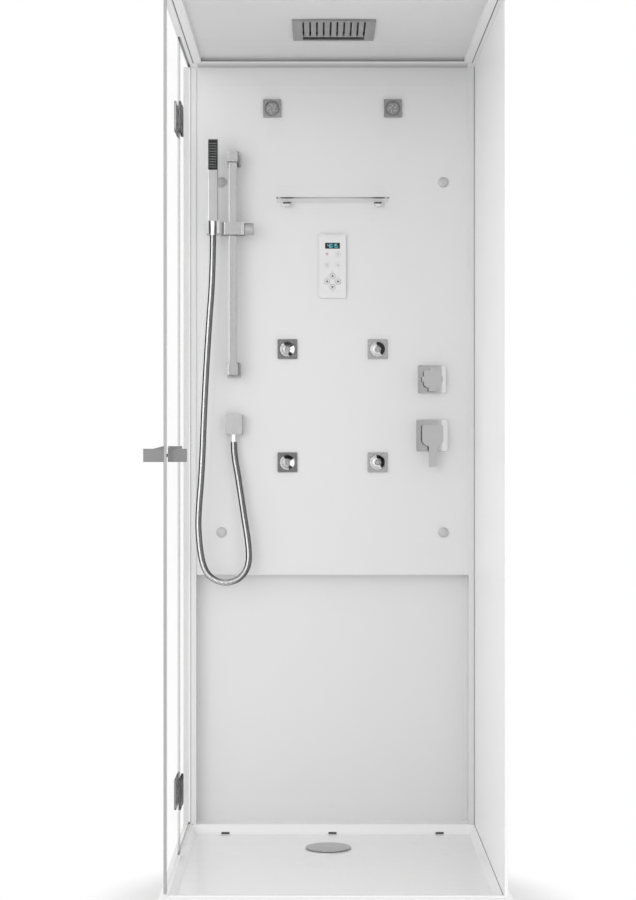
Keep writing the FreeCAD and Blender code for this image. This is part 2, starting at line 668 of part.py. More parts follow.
def handles():
    low, high = "handleZ - handleTall / 2", "handleZ + handleTall / 2"
    nearY, midY = f"{handleY} - handleLong / 2", f"{handleY} - handleLong / 2 + handleSlab"
    pulls = []
    for name, slab, clamp in (
            ("pullOuter", (f"{glassLeft} - pullOut", glassLeft), [
                (f"{glassLeft} - clampOut", low), (glassLeft, low),
                (glassLeft, f"{high} + clampRise"), (f"{glassLeft} - 6", f"{high} + clampRise"),
                (f"{glassLeft} - clampOut", high)]),
            ("pullInner", (glassInner, f"{glassInner} + pullIn"), [
                (glassInner, low), (f"{glassInner} + clampIn", low),
                (f"{glassInner} + clampIn", f"{high} + clampRise"),
                (glassInner, f"{high} + clampRise")])):
        grip = part_body(name)
        pad(grip, "y", (nearY, midY), lambda drawn: rectangle(drawn, slab, (low, high)))
        bevelFront(grip, nearY)
        behind = part_body(name + "Clamp")
        pad(behind, "y", (midY, f"{handleY} + handleLong / 2"),
            lambda drawn: polygon(drawn, clamp))
        pulls.append((grip, behind))
    stem = cylinder("pullStem", "handleStem / 2", "glassThick + 14",
                    (f"{glassLeft} - 1", handleY, "handleZ"), "x")
    publish(fuse("pullOuterWhole", *pulls[0], stem), "handle_outer")
    socket = cylinder("pullSocket", "handleStem / 2", "13.5",
                      (f"{glassInner} - 0.5", handleY, "handleZ"), "x")
    publish(cut("pullInnerCut", fuse("pullInnerWhole", *pulls[1]), socket), "handle_inner")


def bevelFront(owner, level):
    rim = [name for name, edge in edgesOf(owner) if edge.BoundBox.YLength < 0.01
           and abs(edge.BoundBox.YMin - number(level)) < 0.01]
    solid = owner.Tip
    bevel = owner.newObject("PartDesign::Chamfer", owner.Name + "Bevel")
    bevel.Base = (solid, rim)
    bevel.setExpression("Size", bound("handleBevel"))
    doc.recompute()


hinges()
handles()


# ---------------------------------------------------------------- roof
roofLeft, roofRight = f"({left} + roofSetIn)", f"({right} - roofSetIn)"
roofFront = f"({glassFront} - 2)"
innerLeft, innerRight = f"({roofLeft} + bandSide)", f"({roofRight} - bandSide)"
innerFront, innerBack = f"({roofFront} + bandFront)", f"({panelFace} - bandBack)"
ceilingFoot = f"({roofFoot} + ceilingRise)"
ceilingTop = f"({ceilingFoot} + ceilingThick)"
coverFoot = "(cabinHeight - coverSheet)"
pipeX, pipeY = "mixerX", f"({panelFace} + pipeBack)"
roofPipeZ = f"({ceilingTop} + pipeRadius - 1.5)"


def roof():
    frame = body("roof_frame")
    pad(frame, "z", (roofFoot, coverFoot), lambda drawn: (
        rectangle(drawn, (roofLeft, roofRight), (roofFront, back)),
        rectangle(drawn, (innerLeft, innerRight), (innerFront, innerBack))))
    pocket(frame, "z", (ceilingFoot, coverFoot), lambda drawn: rectangle(
        drawn, (f"{innerLeft} - ledge", f"{innerRight} + ledge"),
        (f"{innerFront} - ledge", f"{innerBack} + ledge")))
    pocket(frame, "z", (roofFoot, f"{roofFoot} + paneBite"), lambda drawn: (
        rectangle(drawn, (f"{glassLeft} - runClear", f"{glassInner} + runClear"),
                  ("hingeY + paneGap - 1", f"{paneEnd} + 1")),
        rectangle(drawn, (f"{wallInner} - runClear", f"{wallOuter} + runClear"),
                  (f"{trimBack} - 1", f"{paneEnd} + 1")),
        rectangle(drawn, (f"{sealLip}", f"{wallInner} + 4.5"),
                  (f"{glassFront} - runClear", f"{paneBack} + runClear"))))
    lineX = (f"{roofLeft} + lineSetIn", f"{roofRight} - lineSetIn")
    lineY = (f"{paneBack} + 6", f"{panelFace} - bandBack * 0.7")
    pocket(frame, "z", (roofFoot, f"{roofFoot} + lineDeep"), lambda drawn: (
        rectangle(drawn, lineX, lineY),
        rectangle(drawn, (lineX[0] + " + lineWide", lineX[1] + " - lineWide"),
                  (lineY[0] + " + lineWide", lineY[1] + " - lineWide"))))
    pocket(frame, "z", (ceilingFoot, coverFoot), lambda drawn: rectangle(
        drawn, (f"{pipeX} - pipeRadius - 2", f"{pipeX} + pipeRadius + 2"),
        (f"{innerBack} + ledge - 1", f"{pipeY} + pipeRadius + 2")))
    pocket(frame, "z", (roofFoot, coverFoot), lambda drawn: circle(
        drawn, pipeX, pipeY, "pipeRadius + 2"))

    ceiling = body("ceiling_panel")
    pad(ceiling, "z", (ceilingFoot, ceilingTop), lambda drawn: rectangle(
        drawn, (f"{innerLeft} - ledge + 0.5", f"{innerRight} + ledge - 0.5"),
        (f"{innerFront} - ledge + 0.5", f"{innerBack} + ledge - 0.5")))
    pocket(ceiling, "z", (ceilingFoot, ceilingTop), lambda drawn: rectangle(
        drawn, ("0 - rainWide / 2 + 16", "rainWide / 2 - 16"),
        ("rainY - rainLong / 2 + 6", "rainY + rainLong / 2 - 14")))

    cover = body("roof_cover")
    pad(cover, "z", (coverFoot, "cabinHeight"), lambda drawn: rounded(
        drawn, (roofLeft, roofRight), (roofFront, back), "6"))
    pad(cover, "z", (f"{coverFoot} - 3", coverFoot), lambda drawn: (
        rectangle(drawn, (f"{innerLeft} - ledge + 0.5", f"{innerRight} + ledge - 0.5"),
                  (f"{innerFront} - ledge + 0.5", f"{innerBack} + ledge - 0.5")),
        rectangle(drawn, (f"{innerLeft} - ledge + 2.5", f"{innerRight} + ledge - 2.5"),
                  (f"{innerFront} - ledge + 2.5", f"{innerBack} + ledge - 2.5"))))


def rainHead():
    blank = part_body("rainBlank")
    pad(blank, "z", (f"{ceilingFoot} - rainProud", ceilingFoot), lambda drawn: rounded(
        drawn, ("0 - rainWide / 2", "rainWide / 2"),
        ("rainY - rainLong / 2", "rainY + rainLong / 2"), "6"))

    slot = pocket(blank, "z", (f"{ceilingFoot} - rainProud", ceilingFoot), lambda drawn: rectangle(
        drawn, ("0 - slotPitch * (slotCount - 1) / 2 - slotWide / 2",
                "0 - slotPitch * (slotCount - 1) / 2 + slotWide / 2"),
        ("rainY + slotShift - slotLong / 2", "rainY + slotShift + slotLong / 2")))
    row = blank.newObject("PartDesign::LinearPattern", "rainSlots")
    row.Originals = [slot]
    row.Direction = (slot.Profile[0], ["H_Axis"])
    row.setExpression("Length", bound("slotPitch * (slotCount - 1)"))
    row.setExpression("Occurrences", bound("slotCount"))
    blank.Tip = row
    doc.recompute()
    slotEnd = "rainY + slotShift + slotLong / 2"
    half = "(slotPitch * (slotCount - 1) / 2 + slotWide / 2)"
    pocket(blank, "z", (f"{ceilingFoot} - rainProud", ceilingFoot), lambda drawn: rectangle(
        drawn, (f"0 - {half}", half),
        (f"{slotEnd} + scoopGap", f"{slotEnd} + scoopGap + scoopLong")))
    pocket(blank, "z", (f"{ceilingFoot} - rainProud", f"{ceilingFoot} - rainProud / 2"),
           lambda drawn: rectangle(drawn, (f"0 - {half}", half),
                                   (f"{slotEnd} + 3", f"{slotEnd} + scoopGap")))
    bowRadius = "((rainWide * rainWide / 4 + rainBow * rainBow) / (2 * rainBow))"
    plate = blank
    for name, middle in (("rainBowBack", f"rainY + rainLong / 2 - {bowRadius}"),
                         ("rainBowFront", f"rainY - rainLong / 2 + {bowRadius}")):
        bow = cylinder(name, bowRadius, "rainProud + 2", ("0", middle, f"{ceilingFoot} - rainProud - 1"))
        plate = common(name + "Cut", plate, bow)
    publish(plate, "rain_head_plate")

    tank = body("rain_head_box")
    wide = ("0 - rainWide / 2 + 8", "rainWide / 2 - 8")
    deep = ("rainY - rainLong / 2 + 2", "rainY + rainLong / 2 - 8")
    pad(tank, "z", (ceilingTop, f"{ceilingTop} + boxTall"), lambda drawn: rounded(
        drawn, wide, deep, "10"))
    pocket(tank, "z", (ceilingTop, f"{ceilingTop} + boxTall - 2"), lambda drawn: rounded(
        drawn, (wide[0] + " + 3", wide[1] + " - 3"), (deep[0] + " + 3", deep[1] + " - 3"), "7"))


roof()
rainHead()


# ---------------------------------------------------------------- lights and fixing caps
def lightsAndCaps():
    bezels, lenses, caps = [], [], []
    for x in ("0 - spotX", "spotX"):
        bezel = part_body("bezel")
        pad(bezel, "y", (f"{panelFace} - spotProud", panelFace), lambda drawn: rounded(
            drawn, (f"{x} - spotSide / 2", f"{x} + spotSide / 2"),
            (f"{spotZ} - spotSide / 2", f"{spotZ} + spotSide / 2"), "2"))
        pocket(bezel, "y", (f"{panelFace} - spotProud", panelFace), lambda drawn: circle(
            drawn, x, spotZ, "spotBore"))
        bezels.append(bezel)
        lenses.append(turned("lens", [
            ("0", "0"), ("spotBore * 0.55", "0.5"), ("spotBore * 0.85", "1.6"),
            ("spotBore", "3"), ("spotBore", "spotProud - 2"),
            ("spotBore - 4", "spotProud - 2"), ("spotBore - 4", "spotProud + panelThick + 8"),
            ("0", "spotProud + panelThick + 8")], (x, f"{panelFace} - spotProud + 2", spotZ), "y"))
    for x in ("0 - capX", "capX"):
        for z in ("cabinHeight - capDrop", "capLow"):
            caps.append(turned("cap", [
                ("0", "0"), ("capRadius * 0.6", "0.4"), ("capRadius - 1", "1.8"),
                ("capRadius", "3.4"), ("capRadius", "capProud"), ("0", "capProud")],
                (x, f"{panelFace} - capProud", z), "y"))
    group("spot_bezels", *bezels)
    group("spot_lenses", *lenses)
    group("fixing_caps", *caps)


lightsAndCaps()


# ---------------------------------------------------------------- slide bar, slider and holder
barLine = f"({panelFace} - barY)"


def barSection(drawn, ease="0"):
    rounded(drawn, (f"barX - barWide / 2 - {ease}", f"barX + barWide / 2 + {ease}"),
            (f"{barLine} - barDeep / 2 - {ease}", f"{barLine} + barDeep / 2 + {ease}"), "1.5")


def slideBar():
    foot, head = "barFoot - blockTall / 2", "barTop + blockTall / 2"
    rod = part_body("barRod")
    pad(rod, "z", (foot, head), barSection)
    hollow = box("barHollow", ("barX - barWide / 2 + 1.5", "barX + barWide / 2 - 1.5"),
                 (f"{barLine} - barDeep / 2 + 1.5", f"{barLine} + barDeep / 2 - 1.5"),
                 (f"{foot} + 4", f"{head} - 4"))
    publish(cut("barCut", rod, hollow), "slide_bar")
    brackets = []
    for middle in ("barTop", "barFoot"):
        low, high = f"{middle} - blockTall / 2", f"{middle} + blockTall / 2"
        block = part_body("barBlock")
        pad(block, "z", (low, high), lambda drawn: rounded(
            drawn, ("barX - blockWide / 2", "barX + blockWide / 2"),
            (f"{barLine} - blockWide / 2", f"{panelFace} - baseThick / 2"), "4"))
        base = part_body("barBase")
        pad(base, "y", (f"{panelFace} - baseThick", panelFace), lambda drawn: rounded(
            drawn, ("barX - baseWide / 2", "barX + baseWide / 2"),
            (f"{middle} - baseTall / 2", f"{middle} + baseTall / 2"), "3"))
        through = part_body("blockBore")
        pad(through, "z", (low, high), barSection)
        brackets.append(cut("bracketCut", fuse("bracket", block, base), through))
    group("bar_brackets", *brackets)


sliderLeft, sliderRight = "(barX - sliderWide / 2)", "(barX + sliderWide / 2)"
handLine = f"({panelFace} - handY)"
coneFootZ = "(handFoot - coneTall)"


def slider():
    block = part_body("sliderBlock")
    pad(block, "z", ("sliderZ - sliderTall / 2", "sliderZ + sliderTall / 2"), lambda drawn: rounded(
        drawn, (sliderLeft, sliderRight), (f"{barLine} - sliderDeep / 2",
                                           f"{barLine} + sliderDeep / 2"), "9"))
    bore = part_body("sliderBore")
    pad(bore, "z", ("sliderZ - sliderTall / 2", "sliderZ + sliderTall / 2"),
        lambda drawn: barSection(drawn, "slideFit"))
    screwWay = cylinder("sliderScrewWay", "knobStem + stemFit", "sliderWide / 2 - barWide / 2",
                        ("barX + barWide / 2", barLine, "sliderZ"), "x")
    trunnionWay = cylinder("sliderPinWay", "holderStem + stemFit", "sliderWide / 2 - barWide / 2 - 4",
                           (sliderLeft, barLine, "sliderZ"), "x")
    publish(cut("sliderCut", block, bore, screwWay, trunnionWay), "slider_body")

    knobFace = f"{sliderRight} + runClear"
    knob = turned("sliderKnobSolid", [
        ("0", "0"), ("knobRadius - 2", "0"), ("knobRadius", "3"), ("knobRadius", "knobLong - 3"),
        ("knobRadius - 2", "knobLong"), ("0", "knobLong")], (knobFace, barLine, "sliderZ"), "x")
    screw = cylinder("knobScrew", "knobStem", "sliderWide / 2 - barWide / 2 - 3",
                     ("barX + barWide / 2 + slideFit + 3 + runClear", barLine, "sliderZ"), "x")
    publish(fuse("sliderKnobWhole", knob, screw), "slider_knob")

    holderRight = f"({sliderLeft} - runClear)"
    holderLeft = f"({holderRight} - holderLong)"
    arm = part_body("holderArm")
    pad(arm, "z", ("sliderZ - sliderTall / 2", "sliderZ + sliderTall / 2"), lambda drawn: rounded(
        drawn, (holderLeft, holderRight), (f"{handLine} - coneTop - 5",
                                           f"{barLine} + sliderDeep / 2 - 6"), "7"))
    trunnion = cylinder("holderPin", "holderStem", "sliderWide / 2 - barWide / 2 - 6",
                        (f"{holderRight} - 1", barLine, "sliderZ"), "x")
    slope = "((coneTop - coneFoot) / coneTall)"
    below = "(sliderZ - sliderTall / 2)"
    socket = cone("holderSocket", f"coneFoot + ({below} - {coneFootZ}) * {slope} + runClear",
                  f"coneFoot + ({below} + sliderTall - {coneFootZ}) * {slope} + runClear",
                  "sliderTall", ("handX", handLine, below))
    mouth = box("holderMouth", ("handX - forkMouth / 2", "handX + forkMouth / 2"),
                (f"{handLine} - coneTop - 6", handLine), (below, f"{below} + sliderTall"))
    publish(cut("holderCut", fuse("holderWhole", arm, trunnion), socket, mouth), "handset_holder")


slideBar()
slider()


# ---------------------------------------------------------------- hand shower, hose and outlet
def handShower():
    handFront = f"({handLine} - handDeep / 2)"
    grip = part_body("gripSolid")
    pad(grip, "z", ("handFoot", "handFoot + handTall"), lambda drawn: rounded(
        drawn, ("handX - handWide / 2", "handX + handWide / 2"),
        (handFront, f"{handLine} + handDeep / 2"), "3"))
    top = "handFoot + handTall"
    plateX = ("handX - handWide / 2 + sprayEdge", "handX + handWide / 2 - sprayEdge")
    pocket(grip, "y", (handFront, f"{handFront} + sprayProud"), lambda drawn: rounded(
        drawn, plateX, (f"{top} - sprayTall", f"{top} - sprayEdge"), "1.5"))
    crown = [name for name, edge in edgesOf(grip) if edge.BoundBox.ZLength < 0.01
             and abs(edge.BoundBox.ZMin - number(top)) < 0.01]
    solid = grip.Tip
    softening = grip.newObject("PartDesign::Fillet", "gripCrown")
    softening.Base = (solid, crown)
    softening.Radius = 0.9
    doc.recompute()
    publish(grip, "handset_body")

    plate = body("spray_plate")
    pad(plate, "y", (f"{handFront} - 0.4", f"{handFront} + sprayProud"), lambda drawn: rounded(
        drawn, plateX, (f"{top} - sprayTall", f"{top} - sprayEdge"), "1.5"))

    publish(turned("coneNut", [
        ("0", "0"), ("coneFoot", "0"), ("coneTop", "coneTall"), ("0", "coneTall")],
        ("handX", handLine, coneFootZ)), "hose_cone_nut")


handPipeY = f"({pipeY} + teeHalf + 10)"
nutLine = f"({panelFace} - outletReach)"
hoseEnd = "(outletZ - outletTall / 2 - nutTall)"


def wallOutlet():
    block = part_body("outletBlock")
    pad(block, "y", (f"{panelFace} - outletDeep", panelFace), lambda drawn: rounded(
        drawn, ("outletX - outletWide / 2", "outletX + outletWide / 2"),
        ("outletZ - outletTall / 2", "outletZ + outletTall / 2"), "2"))
    tail = cylinder("outletTail", "pipeRadius", f"{handPipeY} - {panelFace} + 1",
                    ("outletX", f"{panelFace} - 1", "outletZ"), "y")
    union = box("outletUnion", ("outletX - teeHalf", "outletX + teeHalf"),
                (f"{handPipeY} - 9", f"{handPipeY} + 9"), ("outletZ - 10", "outletZ + 10"))
    publish(fuse("outletWhole", block, tail, union), "wall_outlet")
    nut = turned("hoseNut", [
        ("0", "0"), ("nutRadius - 0.8", "0"), ("nutRadius", "1"), ("nutRadius", "nutTall"),
        ("0", "nutTall")], ("outletX", nutLine, hoseEnd))
    publish(nut, "hose_wall_nut")


# the hose hangs from the cone nut in one loop and comes up to the wall outlet's nut
hoseRoute = [
    (-316, 312, 1701.5), (-316, 312, 1605), (-328.2, 314.5, 1446), (-339.4, 318, 1250),
    (-345.5, 323, 1082), (-354.5, 328, 978), (-356.3, 333, 920), (-348, 338, 842),
    (-331.5, 343, 801), (-295, 348, 780), (-252.8, 354, 786.5), (-224.5, 360, 818.5),
    (-221.7, 366, 870), (-237, 372, 963), (-253, 381, 1068), (-264, 390, 1124.5),
    (-264, 390, 1155.7),
]


def hose():
    start = (number("handX"), number(handLine), number(coneFootZ))
    end = (number("outletX"), number(nutLine), number(hoseEnd))
    points = [Vector(*point) for point in [start] + hoseRoute[1:-1] + [end]]
    points[1].x, points[1].y = start[0], start[1]
    points[-2].x, points[-2].y = end[0], end[1]
    runs = [(points[i + 1] - points[i]).Length for i in range(len(points) - 1)]
    edges, cursor, radii = [], points[0], []
    for index in range(1, len(points) - 1):
        corner = points[index]
        into = (corner - points[index - 1]).normalize()
        out = (points[index + 1] - corner).normalize()
        half = into.getAngle(out) / 2
        set_back = 0.45 * min(runs[index - 1], runs[index])
        radii.append(set_back / math.tan(half))
        begin, finish = corner - into * set_back, corner + out * set_back
        middle = (begin + finish) * 0.5
        inward = (middle - corner).normalize()
        centre_gap = set_back / math.sin(half)
        top = corner + inward * (centre_gap - radii[-1]) if half > 1e-6 else middle
        edges.append(Part.LineSegment(cursor, begin).toShape())
        edges.append(Part.Arc(begin, top, finish).toShape())
        cursor = finish
    edges.append(Part.LineSegment(cursor, points[-1]).toShape())
    path = Part.Wire(edges)
    radius = number("hoseRadius")
    ring = Part.Wire(Part.Circle(points[0], Vector(0, 0, 1), radius).toShape())
    tube = path.makePipeShell([ring], True, False)
    print("hose bend radii, mm:", [round(value) for value in radii])
    print("hose length %.0f mm, volume ratio %.4f" % (
        path.Length, tube.Volume / (path.Length * math.pi * radius ** 2)))
    feature = doc.addObject("Part::Feature", "hoseTube")
    feature.Shape = tube
    publish(feature, "hose")


handShower()
wallOutlet()
hose()


# ---------------------------------------------------------------- shelf
def shelf():
    plate = body("shelf_glass")
    pad(plate, "z", ("shelfZ", "shelfZ + shelfThick"), lambda drawn: rounded(
        drawn, ("0 - shelfWide / 2", "shelfWide / 2"),
        (f"{panelFace} - shelfDeep", f"{panelFace} - 1"), "shelfRadius"))
    clamps = []
    for x in ("0 - clampX", "clampX"):
        peg = turned("clampPeg", [
            ("0", "0"), ("clampRadius - 1.5", "0"), ("clampRadius", "1.5"),
            ("clampRadius", "clampReach"), ("0", "clampReach")],
            (x, f"{panelFace} - clampReach", "shelfZ"), "y")
        upperHalf = box("clampUpper", (f"{x} - clampRadius - 1", f"{x} + clampRadius + 1"),
                        (f"{panelFace} - clampReach - 1", f"{panelFace} + 1"),
                        ("shelfZ", "shelfZ + clampRadius + 1"))
        clamps.append(cut("clampCut", peg, upperHalf))
    group("shelf_clamps", *clamps)


# ---------------------------------------------------------------- control panel
controlFace = f"({panelFace} - controlThick)"
keyPlaces = {
    "up": ("0", "keyZ + keyPitch"), "down": ("0", "keyZ - keyPitch"),
    "left": ("0 - keyPitch", "keyZ"), "right": ("keyPitch", "keyZ"),
}


def controlPanel():
    housing = body("control_housing")
    pad(housing, "y", (controlFace, panelFace), lambda drawn: rounded(
        drawn, ("0 - controlWide / 2", "controlWide / 2"),
        ("controlZ - controlTall / 2", "controlZ + controlTall / 2"), "controlRadius"))
    window = (("0 - displayWide / 2", "displayWide / 2"),
              ("displayZ - displayTall / 2", "displayZ + displayTall / 2"), "1.5")
    pocket(housing, "y", (controlFace, f"{controlFace} + 3"), lambda drawn: rounded(drawn, *window))
    pocket(housing, "y", (controlFace, f"{controlFace} + keyWell"), lambda drawn: [
        circle(drawn, x, z, "keyRadius + keyClear") for x, z in keyPlaces.values()])
    display = body("control_display")
    pad(display, "y", (f"{controlFace} + 0.6", f"{controlFace} + 3"),
        lambda drawn: rounded(drawn, *window))
    for name, (x, z) in keyPlaces.items():
        depth = "keyProud + keyWell - keyTravel - 0.25"
        key = turned("keySolid", [
            ("0", "0"), ("keyRadius - 0.6", "0"), ("keyRadius", "0.6"), ("keyRadius", depth),
            ("0", depth)], (x, f"{controlFace} - keyProud", z), "y")
        publish(key, "key_" + name)


shelf()
controlPanel()


# ---------------------------------------------------------------- diverter, mixer and their block
pivotLine = f"({panelFace} - headStand)"
headFront = f"({pivotLine} - headThick)"


def coverPlate(name, x, z, side, hole):
    plate = part_body(name)
    pad(plate, "y", (f"{panelFace} - plateThick", panelFace), lambda drawn: rounded(
        drawn, (f"{x} - {side} / 2", f"{x} + {side} / 2"),
        (f"{z} - {side} / 2", f"{z} + {side} / 2"), "3"))
    pocket(plate, "y", (f"{panelFace} - plateThick", panelFace), lambda drawn: circle(
        drawn, x, z, hole))
    return plate


def headOutline(drawn, x, z, half, chamfer):
    polygon(drawn, [
        (f"{x} - {half}", f"{z} - {half} + {chamfer}"), (f"{x} - {half} + {chamfer}", f"{z} - {half}"),
        (f"{x} + {half} - {chamfer}", f"{z} - {half}"), (f"{x} + {half}", f"{z} - {half} + {chamfer}"),
        (f"{x} + {half}", f"{z} + {half}"), (f"{x} - {half}", f"{z} + {half}")])


def roundUprights(owner, radius):
    """Rounds the edges that run along Y."""
    names = [name for name, edge in edgesOf(owner)
             if edge.BoundBox.XLength < 0.01 and edge.BoundBox.ZLength < 0.01]
    solid = owner.Tip
    feature = owner.newObject("PartDesign::Fillet", owner.Name + "Round")
    feature.Base = (solid, names)
    feature.setExpression("Radius", bound(radius))
    doc.recompute()


def valves():
    group("valve_plates",
          coverPlate("diverterPlate", "diverterX", "diverterZ", "diverterSide", "neckRadius - 2"),
          coverPlate("mixerPlate", "mixerX", "mixerZ", "mixerSide", "neckRadius + 1"))

    head = part_body("diverterHead")
    pad(head, "y", (f"{headFront} + 6", f"{pivotLine} + 4"), lambda drawn: headOutline(
        drawn, "diverterX", "diverterZ", "(diverterKnob / 2)", "headChamfer * 0.6"))
    roundUprights(head, "headRound")
    neck = cylinder("diverterNeck", "neckRadius - 3", "headStand",
                    ("diverterX", f"{pivotLine} + 3", "diverterZ"), "y")
    stem = cylinder("diverterStem", "stemRadius", "panelThick + 24",
                    ("diverterX", f"{panelFace} - plateThick", "diverterZ"), "y")
    trimNeck = box("diverterTrim", ("diverterX - 40", "diverterX + 40"),
                   (f"{panelFace} - plateThick + 2", f"{panelFace} + headStand"),
                   ("diverterZ - 40", "diverterZ + 40"))
    tail = box("diverterTail", ("diverterX - leverWide / 2", "diverterX + leverWide / 2"),
               (f"{headFront} + 8", f"{pivotLine} + 2"),
               ("diverterZ - tailReach", "diverterZ - diverterKnob / 2 + 4"))
    lugs = []
    half, third = "diverterKnob / 2", "leverWide / 3"
    for x, z in (((f"0 - {third}", third), (f"{half} - 4", f"{half} + lugReach")),
                 ((f"0 - {half} - lugReach", f"0 - {half} + 4"), (f"0 - {third}", third)),
                 ((f"{half} - 4", f"{half} + lugReach"), (f"0 - {third}", third))):
        lugs.append(box("diverterLug", (f"diverterX + {x[0]}", f"diverterX + {x[1]}"),
                        (f"{headFront} + 14", f"{pivotLine} + 2"),
                        (f"diverterZ + {z[0]}", f"diverterZ + {z[1]}")))
    whole = fuse("diverterWhole", head, cut("diverterNeckCut", neck, trimNeck), stem, tail, *lugs)
    publish(whole, "diverter_knob")

    stemEnd = "headStand + panelThick + 24"
    publish(turned("mixerCollar", [
        ("0", "0 - neckRadius"), ("neckRadius * 0.5", "0 - neckRadius * 0.866"),
        ("neckRadius * 0.866", "0 - neckRadius * 0.5"), ("neckRadius", "0"),
        ("neckRadius * 0.866", "neckRadius * 0.5"), ("stemRadius", "neckRadius * 0.8"),
        ("stemRadius", stemEnd), ("0", stemEnd)],
        ("mixerX", pivotLine, "mixerZ"), "y"), "mixer_collar")

    cap = part_body("mixerHeadSolid")
    pad(cap, "y", (headFront, pivotLine), lambda drawn: headOutline(
        drawn, "mixerX", "mixerZ", "(mixerHead / 2)", "headChamfer"))
    roundUprights(cap, "headRound")
    lever = part_body("mixerLeverBar")
    pad(lever, "y", (f"{headFront} + 1", f"{headFront} + 1 + leverThick"), lambda drawn: rounded(
        drawn, ("mixerX - leverWide / 2", "mixerX + leverWide / 2"),
        ("mixerZ - leverReach", "mixerZ"), "2"))
    cupRadius = "(neckRadius + runClear) * 1.036"
    cup = turned("mixerCup", [
        ("0", f"0 - {cupRadius}"), (f"{cupRadius} * 0.5", f"0 - {cupRadius} * 0.866"),
        (f"{cupRadius} * 0.866", f"0 - {cupRadius} * 0.5"), (cupRadius, "0"), (cupRadius, "1"),
        ("0", "1")], ("mixerX", pivotLine, "mixerZ"), "y")
    publish(cut("mixerLeverCut", fuse("mixerLeverWhole", cap, lever), cup), "mixer_lever")

    block = part_body("valveBlockSolid")
    behind = f"({panelFace} + panelThick)"
    blockTop = "(diverterZ + blockHalf)"
    pad(block, "y", (behind, f"{behind} + blockDeep"), lambda drawn: rounded(
        drawn, ("mixerX - blockHalf", "mixerX + blockHalf"),
        ("mixerZ - blockHalf", blockTop), "6"))
    parts = [block]
    for x in ("mixerX - inletPitch / 2", "mixerX + inletPitch / 2"):
        parts.append(cylinder("inlet", "inletRadius", "inletLong",
                              (x, f"{behind} + blockDeep", "mixerZ"), "y"))
    stemHoles = [
        cylinder("blockWell", "stemRadius + stemFit", "25", (x, behind, z), "y")
        for x, z in (("diverterX", "diverterZ"), ("mixerX", "mixerZ"))]
    publish(cut("valveBlockCut", fuse("valveBlockWhole", *parts), *stemHoles), "valve_block")


valves()


# ---------------------------------------------------------------- jets
jetPlaces = {
    "upper_left": ("0 - jetX", "jetHigh"), "upper_right": ("jetX", "jetHigh"),
    "lower_left": ("0 - jetX", "jetLow"), "lower_right": ("jetX", "jetLow"),
}


def jets():
    plates, bodies = [], []
    for place_name, (x, z) in jetPlaces.items():
        plate = part_body("jetPlate")
        pad(plate, "y", (f"{panelFace} - jetThick", panelFace), lambda drawn: rounded(
            drawn, (f"{x} - jetSide / 2", f"{x} + jetSide / 2"),
            (f"{z} - jetSide / 2", f"{z} + jetSide / 2"), "2"))
        pocket(plate, "y", (f"{panelFace} - jetThick", panelFace), lambda drawn: circle(
            drawn, x, z, "jetBall + jetFit"))
        plates.append(plate)
        shell = turned("jetShell", [
            ("jetBall + jetFit", "0"), ("jetSocket", "0"), ("jetSocket", "jetDeep - 8"),
            ("jetSocket - 10", "jetDeep"), ("0", "jetDeep"), ("0", "jetDeep - 4"),
            ("jetBall - 6", "jetDeep - 10"), ("jetBall + jetFit", "jetDeep - 14")],
            (x, f"{panelFace} + panelThick", z), "y")
        bodies.append(shell)

        eye = turned("jetEye", [
            ("0", "0 - jetFace - 1"), ("jetNose - 1.5", "0 - jetFace - 1"),
            ("jetNose", "0.5 - jetFace"), ("jetNose", "jetFace"), ("jetNose + 1.2", "jetFace"),
            ("jetCup", "0 - jetFace"), ("jetBall * 0.98", "0 - jetFace"), ("jetBall", "0"),
            ("jetBall * 0.966", "jetBall * 0.259"), ("jetBall * 0.866", "jetBall * 0.5"),
            ("jetBall * 0.714", "jetBall * 0.7"), ("0", "jetBall * 0.7")],
            (x, panelFace, z), "y")
        holes = [cylinder("jetHole", "jetHole", "3", (
            f"{x} + {dx} * jetNose * 0.46", f"{panelFace} - jetFace - 1.1",
            f"{z} + {dz} * jetNose * 0.46"), "y") for dx, dz in ((-1, -1), (1, -1), (-1, 1), (1, 1))]
        publish(cut("jetEyeCut", eye, *holes), "jet_" + place_name)
    group("jet_plates", *plates)
    group("jet_bodies", *bodies)


jets()


